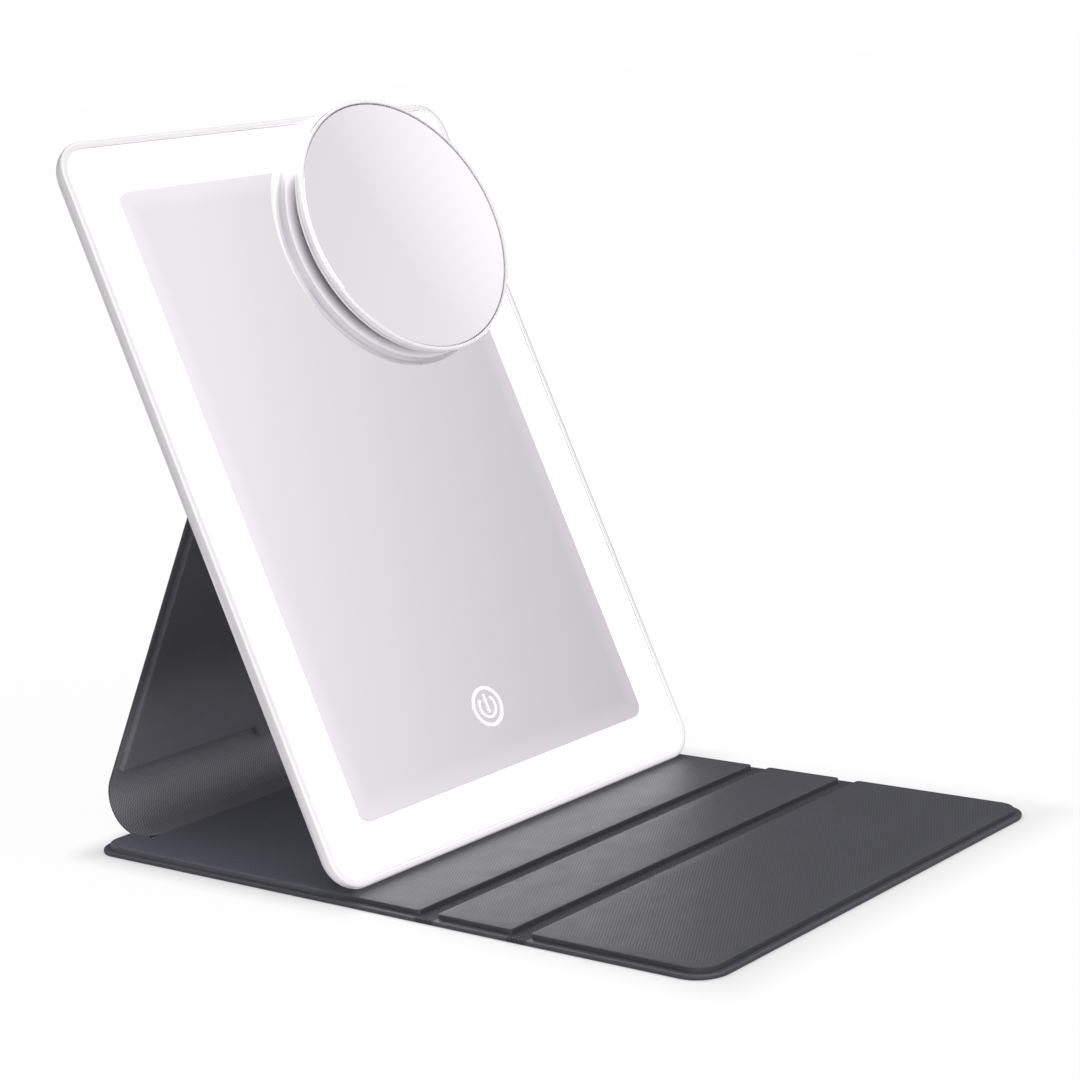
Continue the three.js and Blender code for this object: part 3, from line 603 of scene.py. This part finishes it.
def rounded(corners, inset=0.0, steps=10):
    """A polygon moved in by inset, with rounded corners.

    Each corner is x, y, radius, and how far the side after it moves in, as a share of inset.
    """
    count = len(corners)
    sides = []
    for i in range(count):
        x0, y0, _, share = corners[i]
        x1, y1 = corners[(i + 1) % count][:2]
        d = Vector((x1 - x0, y1 - y0)).normalized()
        n = Vector((-d.y, d.x))
        sides.append((Vector((x0, y0)) + n * inset * share, d))
    loop = []
    for i in range(count):
        p, d = sides[i - 1]
        q, e = sides[i]
        turn = d.x * e.y - d.y * e.x
        t = ((q - p).x * e.y - (q - p).y * e.x) / turn
        corner = p + d * t
        radius = corners[i][2]
        if radius == 0:
            loop.append(tuple(corner))
            continue
        radius = max(radius - inset, 0.25) if turn > 0 else radius + inset
        reach = radius * math.tan(abs(math.atan2(turn, d.dot(e))) / 2)
        start = corner - d * reach
        side = 1 if turn > 0 else -1
        centre = start + Vector((-d.y, d.x)) * radius * side
        angle = math.atan2(turn, d.dot(e))
        arm = start - centre
        for k in range(steps + 1):
            a = angle * k / steps
            loop.append((
                centre.x + arm.x * math.cos(a) - arm.y * math.sin(a),
                centre.y + arm.x * math.sin(a) + arm.y * math.cos(a),
            ))
    return loop


def box_corners(half, y0, y1, low, high, open_low=False, open_high=False):
    """Corners of a sheet: right low, right high, left high, left low."""
    return [
        (half, y0, low, 1),
        (half, y1, high, 0 if open_high else 1),
        (-half, y1, high, 1),
        (-half, y0, low, 0 if open_low else 1),
    ]


def stack(name, rings, place=flat, caps=(True, True), joined=False, crease=32, material=None):
    """A solid through rings of equal point counts; each ring is a loop and its height."""
    count = len(rings[0][0])
    points = [(x, y, z) for loop, z in rings for x, y in loop]
    faces = []
    uvs = []
    along = [0.0]
    for (a, za), (b, zb) in zip(rings, rings[1:]):
        along.append(along[-1] + math.dist((*a[0], za), (*b[0], zb)))

    def uv(i):
        shift = along[i // count]
        return (points[i][0] + shift, points[i][1] - shift)

    spans = len(rings) if joined else len(rings) - 1
    for i in range(spans):
        a, b = i * count, ((i + 1) % len(rings)) * count
        for j in range(count):
            k = (j + 1) % count
            face = (a + j, a + k, b + k, b + j)
            faces.append(face)
            uvs.append([uv(v) for v in face])
    if caps[0] and not joined:
        face = tuple(reversed(range(count)))
        faces.append(face)
        uvs.append([uv(v) for v in face])
    if caps[1] and not joined:
        face = tuple(range((len(rings) - 1) * count, len(rings) * count))
        faces.append(face)
        uvs.append([uv(v) for v in face])
    made = build(name, points, faces, uvs, place, crease)
    made.data.materials.append(material)
    return made


def turned(name, profile, place, material, steps=160, crease=32):
    """A solid turned about its own axis from radius and height pairs, on the axis at both ends."""
    points = [(0, 0, profile[0][1])]
    for r, z in profile[1:-1]:
        for k in range(steps):
            a = 2 * math.pi * k / steps
            points.append((r * math.cos(a), r * math.sin(a), z))
    points.append((0, 0, profile[-1][1]))
    last = len(points) - 1
    faces = []
    for k in range(steps):
        n = (k + 1) % steps
        faces.append((0, 1 + k, 1 + n))
        faces.append((last, last - steps + n, last - steps + k))
    for i in range(len(profile) - 3):
        a, b = 1 + i * steps, 1 + (i + 1) * steps
        for k in range(steps):
            n = (k + 1) % steps
            faces.append((a + k, b + k, b + n, a + n))
    uvs = [[(points[v][0], points[v][1]) for v in face] for face in faces]
    made = build(name, points, faces, uvs, place, crease)
    made.data.materials.append(material)
    return made


def strip(name, path, half, thickness, material, lining=None):
    """A sheet of even thickness across x; its outer side follows a path of y, z and heading."""
    section = []
    for side in (1, -1):
        for k in range(7):
            a = math.pi * (k / 6 - 0.5) * side
            section.append((
                side * (half - SHEET_ROUND) + SHEET_ROUND * math.cos(a) * side,
                thickness / 2 + math.sin(a) * thickness / 2,
            ))
    points = []
    along = [0.0]
    for i, (y, z, heading) in enumerate(path):
        if i:
            along.append(along[-1] + math.dist(path[i - 1][:2], (y, z)))
        for x, t in section:
            points.append((x, y - t * math.sin(heading), z + t * math.cos(heading)))
    count = len(section)
    faces = []
    uvs = []
    for i in range(len(path) - 1):
        for j in range(count):
            k = (j + 1) % count
            faces.append((i * count + j, i * count + k, (i + 1) * count + k, (i + 1) * count + j))
            a, b = along[i], along[i + 1]
            x0, x1 = section[j][0], section[k][0]
            uvs.append([(x0, a), (x1, a), (x1, b), (x0, b)])
    faces.append(tuple(reversed(range(count))))
    faces.append(tuple(range((len(path) - 1) * count, len(path) * count)))
    uvs.extend([[(p[0], 0) for p in section]] * 2)
    made = build(name, points, faces, uvs)
    made.data.materials.append(material)
    if lining:
        made.data.materials.append(lining)
        for i, face in enumerate(made.data.polygons):
            height = (section[i % count][1] + section[(i + 1) % count][1]) / 2
            if len(face.vertices) == 4 and height > 0.95 * thickness:
                face.material_index = 1
    return made


def outward(made):
    """Turns a closed mesh's faces outwards."""
    data = made.data
    volume = 0.0
    for face in data.polygons:
        corners = [data.vertices[v].co for v in face.vertices]
        for k in range(1, len(corners) - 1):
            volume += corners[0].dot(corners[k].cross(corners[k + 1]))
    if volume < 0:
        data.flip_normals()
    return made


def piece(made, body, slot, *replaced):
    """Puts a finished piece on its body, in place of CAD nodes."""
    outward(made)
    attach(made, body)
    if replaced:
        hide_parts(*replaced)
    return made


def fold(made, first, second, start, end, slot, *replaced):
    """A sheet between two bodies: its faces turned outwards, its place baked into its mesh, the CAD
    nodes it replaces hidden; it is put on neither body.
    """
    outward(made)
    tuple(c * MM for c in start)
    tuple(c * MM for c in end)
    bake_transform(made)
    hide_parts(*replaced)
    return made


# Mirror panel
def side_inset(depth):
    """How far the side of the panel has moved in at a depth behind its face."""
    if depth < EDGE_ROUND:
        return EDGE_ROUND - math.sqrt(max(EDGE_ROUND**2 - (EDGE_ROUND - depth) ** 2, 0))
    share = min(max((depth - TAPER_START) / (PANEL_T - TAPER_START), 0), 1)
    return TAPER_IN * (1 - math.sqrt(1 - share**2))


def panel_loop(inset, radius=None):
    """The panel's outline, moved in."""
    radius = CORNER - CORNER_SHRINK * inset if radius is None else radius
    corners = box_corners(PANEL_W / 2 - inset, inset, PANEL_H - inset, radius, radius)
    return rounded(corners, 0.0, 14)


def window_loop(gap):
    """Outline of the glass, moved in by a gap."""
    return panel_loop(BAND_W + gap, WINDOW_CORNER - gap)


def panel_frame():
    """White lip and side wall, as one rounded ring."""
    depths = [EDGE_ROUND * (1 - math.cos(k * math.pi / 16)) for k in range(9)]
    profile = [(side_inset(d), d) for d in depths + [1.2, 1.6, 2.0, 2.4, 2.7]]
    profile += [(side_inset(FRAME_DEPTH) + 0.12, FRAME_DEPTH), (1.7, FRAME_DEPTH)]
    profile += [(LIP_W, 2.5), (LIP_W, 0.55)]
    for k in range(1, 6):
        a = k * math.pi / 10
        inset = LIP_W - LIP_ROUND * (1 - math.cos(a))
        profile.append((inset, LIP_ROUND * (1 - math.sin(a))))
    rings = [(panel_loop(inset), -depth) for inset, depth in profile]
    made = stack("panel_frame", rings, on_panel, joined=True, material=WHITE)
    return piece(made, "mirror_panel", "white_plastic", "front_frame")


def panel_back():
    """Tapered rear shell, hollow from the front, with the opening of the charging port."""
    top = FRAME_DEPTH + 0.2
    inner = PANEL_T - WALL
    rings = []
    for k in range(18, -1, -1):
        depth = top + (inner - top) * math.sin(k / 18 * math.pi / 2)
        share = min((depth - TAPER_START) / (PANEL_T - TAPER_START - WALL), 1)
        rings.append((panel_loop(WALL + TAPER_IN * (1 - math.sqrt(1 - share**2))), -depth))
    rings.append((panel_loop(side_inset(top) + 0.12), -top))
    for k in range(1, 29):
        depth = top + (PANEL_T - top) * math.sin(k / 28 * math.pi / 2)
        rings.append((panel_loop(side_inset(depth)), -depth))
    made = stack("panel_back", rings, on_panel, material=WHITE)
    outward(made)
    mouth = rounded(box_corners(PORT_HALF_T, -PORT_HALF_W, PORT_HALF_W, PORT_CORNER, PORT_CORNER))
    cutter = stack(
        "port_cutter",
        [(mouth, PANEL_W / 2 - 10), (mouth, PANEL_W / 2 + 5)],
        lambda a, b, c: on_panel(c, PORT_UP + b, a - PORT_DEPTH),
    )
    outward(cutter)
    cut = made.modifiers.new("port", "BOOLEAN")
    cut.object = cutter
    cut.solver = "EXACT"
    graph = bpy.context.evaluated_depsgraph_get()
    data = bpy.data.meshes.new_from_object(made.evaluated_get(graph))
    made.modifiers.clear()
    made.data = data
    bpy.data.objects.remove(cutter)
    return piece(made, "mirror_panel", "white_plastic", "rear_shell")


def lit_band():
    """Opal ring between the frame and the glass."""
    z = -GLASS_DROP
    outer = 2.3
    radius = CORNER - CORNER_SHRINK * LIP_W
    rings = [
        (panel_loop(LIP_W + 0.03, radius), z - 1.8),
        (panel_loop(LIP_W + 0.03, radius), z - 0.35),
        (panel_loop(outer, radius), z - 0.18),
        (panel_loop(outer + 0.2, radius - 0.1), z),
        (window_loop(-0.12), z),
        (window_loop(0), z - 0.12),
        (window_loop(0), z - 1.8),
    ]
    made = stack("lit_band", rings, on_panel, joined=True, material=BAND)
    return piece(made, "mirror_panel", "opal_diffuser", "diffuser_band")


def glass_sheet():
    """Mirror with a fine bevel."""
    z = -GLASS_DROP
    rings = [
        (window_loop(0.45), z - GLASS_T),
        (window_loop(0.1), z - GLASS_T + 0.25),
        (window_loop(0.1), z - 0.05),
        (window_loop(0.15), z),
    ]
    made = stack("glass_sheet", rings, on_panel, crease=20, material=MIRROR)
    return piece(made, "mirror_panel", "mirror_silver", "mirror_glass")


# Round mirror
def round_housing():
    """White dish of the round mirror."""
    r, top, back = ROUND_R, ROUND_TOP, ROUND_BACK
    wall = r - ROUND_RIM
    seat = top - ROUND_DROP - ROUND_GLASS_T - 0.2
    profile = [(0, back), (r - 3, back)]
    for k in range(11):
        a = k * math.pi / 20
        profile.append((r - 1.9 + 1.8 * math.sin(a), back + 1.9 * (1 - math.cos(a))))
    profile += [(r - 0.03, back + 2.8), (r, top - 0.6)]
    quarter = [k * math.pi / 12 for k in range(1, 7)]
    profile += [(r - 0.5 * (1 - math.cos(a)), top - 0.5 + 0.5 * math.sin(a)) for a in quarter]
    profile += [(wall + 0.35, top)]
    profile += [(wall + 0.3 * (1 - math.sin(a)), top - 0.3 * (1 - math.cos(a))) for a in quarter]
    profile += [(wall, seat), (wall - 1.2, seat), (wall - 1.2, back + 1), (0, back + 1)]
    made = turned("round_housing", profile, on_round, ROUND_WHITE)
    return piece(made, "magnifier", "white_plastic", "magnifier_housing")


def round_glass():
    """Hollow mirror; its middle lies deeper than its edge."""
    r = ROUND_R - ROUND_RIM - 0.2
    low = ROUND_TOP - ROUND_DROP - ROUND_SAG
    profile = [(r * k / 16, low - ROUND_GLASS_T + ROUND_SAG * (k / 16) ** 2) for k in range(17)]
    profile += [(r, low + ROUND_SAG - 0.25), (r - 0.25, low + ROUND_SAG - 0.02)]
    profile += [(r * k / 24, low + ROUND_SAG * (k / 24) ** 2) for k in range(23, -1, -1)]
    made = turned("round_glass", profile, on_round, ROUND_MIRROR, crease=20)
    return piece(made, "magnifier", "mirror_silver", "magnifier_glass")


def round_pad():
    """Thin foam disc behind the round mirror, which keeps the glass from scratches."""
    r = ROUND_FOOT_R - 0.6
    low = ROUND_BACK - 2.4
    high = low + PAD_T
    profile = [(0, low), (r - 0.2, low), (r - 0.06, low + 0.06), (r, low + 0.2), (r, high), (0, high)]
    made = turned("round_pad", profile, on_round, FOAM, 96)
    return piece(made, "magnifier", "foam_tape", "magnifier_pad")


# Cover, flat on the table; the two edges are inset and height pairs
LEDGE_EDGE = [
    (2.0, 0.0), (0.45, 0.0), (0.13, 0.13), (0.0, 0.45), (0.0, 1.0), (0.06, 1.2),
    (0.2, 1.38), (0.45, 1.49), (0.8, 1.5), (1.5, 1.46), (2.2, 1.44), (4.0, 1.4),
]
LINING_EDGE = [
    (-0.05, 1.3), (0.0, 1.55), (0.0, LINING_TOP - 0.36), (0.03, LINING_TOP - 0.2),
    (0.1, LINING_TOP - 0.09), (0.22, LINING_TOP - 0.02), (0.36, LINING_TOP), (4.0, LINING_TOP),
]


def skin_slab(name, y0, y1, low, high, body, replaced):
    """Outer skin of a cover panel, with its ledge; open where a groove follows."""
    corners = box_corners(BASE_W / 2, y0, y1, low, high, open_low=low == 0, open_high=high == 0)
    rings = [(rounded(corners, inset), z) for inset, z in LEDGE_EDGE]
    made = stack(name, rings, material=COVER_SKIN)
    return piece(made, body, "cover_skin", *replaced)


def lining_slab(name, corners, body, replaced, material=COVER_LINING):
    """Raised inner panel with rounded edges."""
    rings = [(rounded(corners, inset), z) for inset, z in LINING_EDGE]
    made = stack(name, rings, material=material)
    return piece(made, body, "cover_lining", *replaced)


def cover_on_table():
    """Base and flaps, each an outer skin and a raised inner panel, and the soft grooves between them."""
    half = BASE_W / 2 - RIM_W
    g = GROOVE_W / 2
    y_a = GROOVE_REAR + g
    y_b0, y_b1 = GROOVE_FRONT + g, GROOVE_REAR - g
    y_c = GROOVE_FRONT - g
    skin_slab("base_outer", y_a, BASE_REAR, 0, 9, "base", ("base_skin",))
    skin_slab("flap_rear_outer", y_b0, y_b1, 0, 0, "rear_flap", ("flap_rear_skin",))
    skin_slab("flap_front_outer", BASE_FRONT, y_c, 10, 0, "front_flap", ("flap_front_skin",))
    notch = LEG_W / 2 + 0.05
    notch_y = SPINE_Y - SPINE_FLAP - 0.03
    rear = BASE_REAR - RIM_W
    lining_slab(
        "base_inner",
        [
            (half, y_a, 1.2, 1), (half, rear, 6.6, 1), (notch, rear, 0.5, 0),
            (notch, notch_y, 0.2, 0), (-notch, notch_y, 0.2, 0), (-notch, rear, 0.5, 1),
            (-half, rear, 6.6, 1), (-half, y_a, 1.2, 1),
        ],
        "base",
        ("base_lining", "base_board"),
        BASE_LINING_PAINTED_LIGHT,
    )
    lining_slab(
        "flap_rear_inner",
        box_corners(half, y_b0, y_b1, 1.2, 1.2),
        "rear_flap",
        ("flap_rear_lining", "flap_rear_board"),
    )
    lining_slab(
        "flap_front_inner",
        box_corners(half, BASE_FRONT + RIM_W, y_c, 7.6, 1.2),
        "front_flap",
        ("flap_front_lining", "flap_front_board"),
    )
    groove("groove_rear_skin", GROOVE_REAR, "base", "rear_flap", "groove_strip_rear")
    groove("groove_front_skin", GROOVE_FRONT, "rear_flap", "front_flap", "groove_strip_front")


def groove(name, middle, rear, front, node):
    """Soft strip between two panels, level with their ledges."""
    half = BASE_W / 2
    section = [(half - inset, z) for inset, z in LEDGE_EDGE]
    section = section + [(-x, z) for x, z in reversed(section)]
    count = len(section)
    points = []
    steps = 14
    for i in range(steps + 1):
        y = middle + GROOVE_W / 2 - GROOVE_W * i / steps
        for x, z in section:
            points.append((x, y, z))
    faces = []
    for i in range(steps):
        for j in range(count):
            k = (j + 1) % count
            faces.append((i * count + j, i * count + k, (i + 1) * count + k, (i + 1) * count + j))
    faces.append(tuple(reversed(range(count))))
    faces.append(tuple(range(steps * count, (steps + 1) * count)))
    uvs = [[(points[v][0], points[v][1]) for v in face] for face in faces]
    made = build(name, points, faces, uvs)
    made.data.materials.append(GROOVE_SKIN)
    edge = GROOVE_W / 2 - 0.4
    return fold(made, rear, front, (0, middle + edge, 1), (0, middle - edge, 1), "cover_skin", node)


# Cover, behind the mirror
def bend_path(y, z, heading, moves):
    """Points with headings along runs and turns."""
    path = [(y, z, heading)]
    for length, turn in moves:
        steps = 2 if turn == 0 else 36
        bend = turn / steps
        chord = length / steps if turn == 0 else 2 * length / abs(turn) * math.sin(abs(bend) / 2)
        for _ in range(steps):
            y += chord * math.cos(heading + bend / 2)
            z += chord * math.sin(heading + bend / 2)
            heading += bend
            path.append((y, z, heading))
    return path


def spine():
    """Round bend behind the base, from a tongue in the base's cut-out up to the leg."""
    sweep = math.pi / 2 + LEAN
    moves = [(SPINE_FLAP, 0), (SPINE_R * sweep, sweep)]
    path = bend_path(SPINE_Y - SPINE_FLAP, SPINE_Z - SPINE_R, 0.0, moves)
    made = strip("spine_sheet", path, LEG_W / 2, SKIN_T, COVER_SKIN, BEND_LINING_PAINTED_LIGHT)
    return fold(made, "base", "leg", (0, 108, 2.6), (0, 123.5, 20.5), "cover_skin", "spine_strip")


def leg():
    """Outer sheet of the leg, and the stiff inner panel on it with a tongue at its lower edge."""
    length = LEG_LENGTH - FOLD_TANGENT
    half = LEG_W / 2
    heading = math.pi / 2 + LEAN
    path = []
    for s in np.linspace(0, length, 5):
        path.append((LEG_FOOT[0] - s * math.sin(LEAN), LEG_FOOT[1] + s * math.cos(LEAN), heading))
    sheet = strip("leg_outer", path, half, SKIN_T, COVER_SKIN, LEG_LINING_PAINTED_LIGHT)
    piece(sheet, "leg", "cover_skin", "leg_skin")
    side = half - LEG_MARGIN
    top = length - LEG_MARGIN
    corners = [
        (side, CREASE, 1.0, 1), (side, top, 1.5, 1),
        (-side, top, 1.5, 1), (-side, CREASE, 1.0, 1),
        (-TONGUE_HIGH_HALF, CREASE, 0.4, 1), (-TONGUE_LOW_HALF, TONGUE_END, 0.5, 1),
        (TONGUE_LOW_HALF, TONGUE_END, 0.5, 1), (TONGUE_HIGH_HALF, CREASE, 0.4, 1),
    ]
    profile = [(-0.1, 0.75), (0.0, 0.95), (0.0, 1.8), (0.08, 2.2), (0.3, 2.5), (0.6, 2.65), (1.0, 2.7)]
    rings = [(rounded(corners, inset, 6), z) for inset, z in profile]
    inner = stack("leg_inner", rings, on_leg, material=LEG_LINING_PAINTED_LIGHT)
    piece(inner, "leg", "cover_lining", "leg_lining", "leg_board")


def top_fold():
    """Bend between the leg and the back of the panel."""
    sweep = TILT + LEAN
    start = LEG_LENGTH - FOLD_TANGENT
    y = LEG_FOOT[0] - start * math.sin(LEAN)
    z = LEG_FOOT[1] + start * math.cos(LEAN)
    moves = [(FOLD_RUN, 0), (FOLD_R * sweep, -sweep), (FOLD_RUN, 0)]
    path = bend_path(y, z, math.pi / 2 + LEAN, moves)
    made = strip("fold_sheet", path, LEG_W / 2, SKIN_T, COVER_SKIN)
    low, high = (0, *path[1][:2]), (0, *path[-2][:2])
    return fold(made, "leg", "mirror_panel", low, high, "cover_skin", "fold_strip")


def back_cover():
    """Part of the cover that is glued to the back of the panel, with a pressed line round its edge."""
    half = LEG_W / 2
    y0 = FOLD_Y + FOLD_TANGENT
    corners = box_corners(half, y0, PANEL_H - BACK_GAP, 0, 10, open_low=True)
    profile = [
        (0.3, 10.25), (0.05, 10.5), (0.0, 10.9), (0.0, 11.9), (0.08, 12.3), (0.3, 12.6),
        (0.7, 12.77), (1.2, 12.8), (3.4, 12.8), (3.7, 12.72), (4.0, 12.8), (8.0, 12.8),
    ]
    rings = [(rounded(corners, inset), -depth) for inset, depth in profile]
    made = stack("back_cover", rings, on_panel, material=COVER_SKIN)
    return piece(made, "mirror_panel", "cover_skin", "back_skin", "back_board", "back_adhesive")


panel_frame()
panel_back()
lit_band()
glass_sheet()
round_housing()
round_glass()
round_pad()
cover_on_table()
spine()
leg()
top_fold()
back_cover()


# Camera at the photograph's angle
camera_data = bpy.data.cameras.new("photo_camera")
camera_data.lens = 91.9428
camera_data.sensor_width = 36.0
camera_data.sensor_fit = "HORIZONTAL"
camera_data.clip_start = 0.01
camera_data.clip_end = 50.0
camera = bpy.data.objects.new("photo_camera", camera_data)
look = Vector((0.74765247, 0.63542814, -0.19299447)).normalized()
upward = Vector((0.19226446, 0.07105399, 0.97876744))
right = look.cross(upward).normalized()
upward = right.cross(look)
spot = Vector((-0.65927672, -0.57208500, 0.26844669))
camera.matrix_world = Matrix((
    (right.x, upward.x, -look.x, spot.x),
    (right.y, upward.y, -look.y, spot.y),
    (right.z, upward.z, -look.z, spot.z),
    (0, 0, 0, 1),
))
bpy.context.scene.collection.objects.link(camera)
bpy.context.scene.camera = camera


# Floor, world and lamps
AMBIENT = 0.58
GLOSS_LEAST, GLOSS_MOST = 0.08, 1.05
FRONT_PATCH, OVERHEAD_PATCH = 1.8, 3.6
FAR_SIDE = (0.643, 0.766, 0.0)
SHADOW_MIDDLE, SHADOW_REACH = (3.0, -12.6), 16.0
FLOOR_DROP = 0.02


def floor():
    """Pale floor; the camera sees it near white, with part of the shadows left close to the cover, where
    the floor also gets a painted grey shade.
    """
    material = bpy.data.materials.new("studio_white")
    tree = Tree(material)
    matte = tree.node("ShaderNodeBsdfDiffuse", {}, {"Color": (0.95, 0.95, 0.95, 1)})
    plain = tree.node("ShaderNodeEmission", {}, {"Color": (1, 1, 1, 1), "Strength": 1.0})
    seen = tree.node("ShaderNodeLightPath", {}, {}, "Is Camera Ray")
    x = abs(tree.place().axis("X") - SHADOW_MIDDLE[0] * MM) - BASE_W / 2 * MM
    y = abs(tree.place().axis("Y") - SHADOW_MIDDLE[1] * MM) - (BASE_REAR - BASE_FRONT) / 2 * MM
    reach = (x.most(0.0) ** 2.0 + y.most(0.0) ** 2.0) ** 0.5
    bleached = seen * (reach.step(0.0, SHADOW_REACH * MM) * 0.7 + 0.25)
    tree.surface(tree.node("ShaderNodeMixShader", {}, {0: bleached, 1: matte, 2: plain}))
    turns = np.linspace(0, 2 * math.pi, 96, endpoint=False)
    rings = [([(r * math.cos(a), r * math.sin(a)) for a in turns], 0.0) for r in (9000.0, 2000.0)]
    made = stack("studio_floor", rings, caps=(False, True), crease=None, material=material)
    made.location.z = -FLOOR_DROP * MM


def world():
    """White to the camera, one even level for matt surfaces, and a soft sweep for glossy ones.

    The sweep darkens towards the far side and brightens upwards, with two brighter patches.
    """
    light = bpy.data.worlds.new("studio")
    bpy.context.scene.world = light
    tree = Tree(light)
    seen = tree.node("ShaderNodeLightPath", {}, {}, "Is Camera Ray")
    glossy = tree.node("ShaderNodeLightPath", {}, {}, "Is Glossy Ray")
    way = tree.place("Generated")
    turn = way.dot(FAR_SIDE)
    sweep = 0.925 - 2.26 * turn.least(0.09) + 1.48 * (way.axis("Z") - 0.3746)
    sweep = (sweep * (1 - turn.step(0.25, 0.8) * 0.8)).most(GLOSS_LEAST).least(GLOSS_MOST)
    front = (turn * -1).step(0.45, 0.8) * FRONT_PATCH
    overhead = way.axis("Z").step(0.50, 0.64) * turn.step(0.15, 0.25) * (1 - turn.step(0.40, 0.60))
    gloss = sweep + front + overhead * OVERHEAD_PATCH
    level = gloss * glossy + (1 - glossy) * AMBIENT
    level = level * (1 - seen) + seen
    back = tree.node("ShaderNodeBackground", {}, {"Color": (1, 1, 1, 1), "Strength": level})
    tree.node_output("ShaderNodeOutputWorld", back)


def sun(name, towards, spread, strength):
    """Even soft light from a direction."""
    data = bpy.data.lights.new(name, "SUN")
    data.angle = math.radians(spread)
    data.energy = strength
    made = bpy.data.objects.new(name, data)
    made.rotation_euler = (-Vector(towards)).to_track_quat("-Z", "Y").to_euler()
    bpy.context.scene.collection.objects.link(made)


floor()
world()
sun("key_lamp", (-0.15, -0.60, 0.79), 50, 1.05)
sun("fill_lamp", (-0.84, -0.52, 0.16), 30, 0.36)

bpy.context.scene.view_settings.view_transform = "Standard"
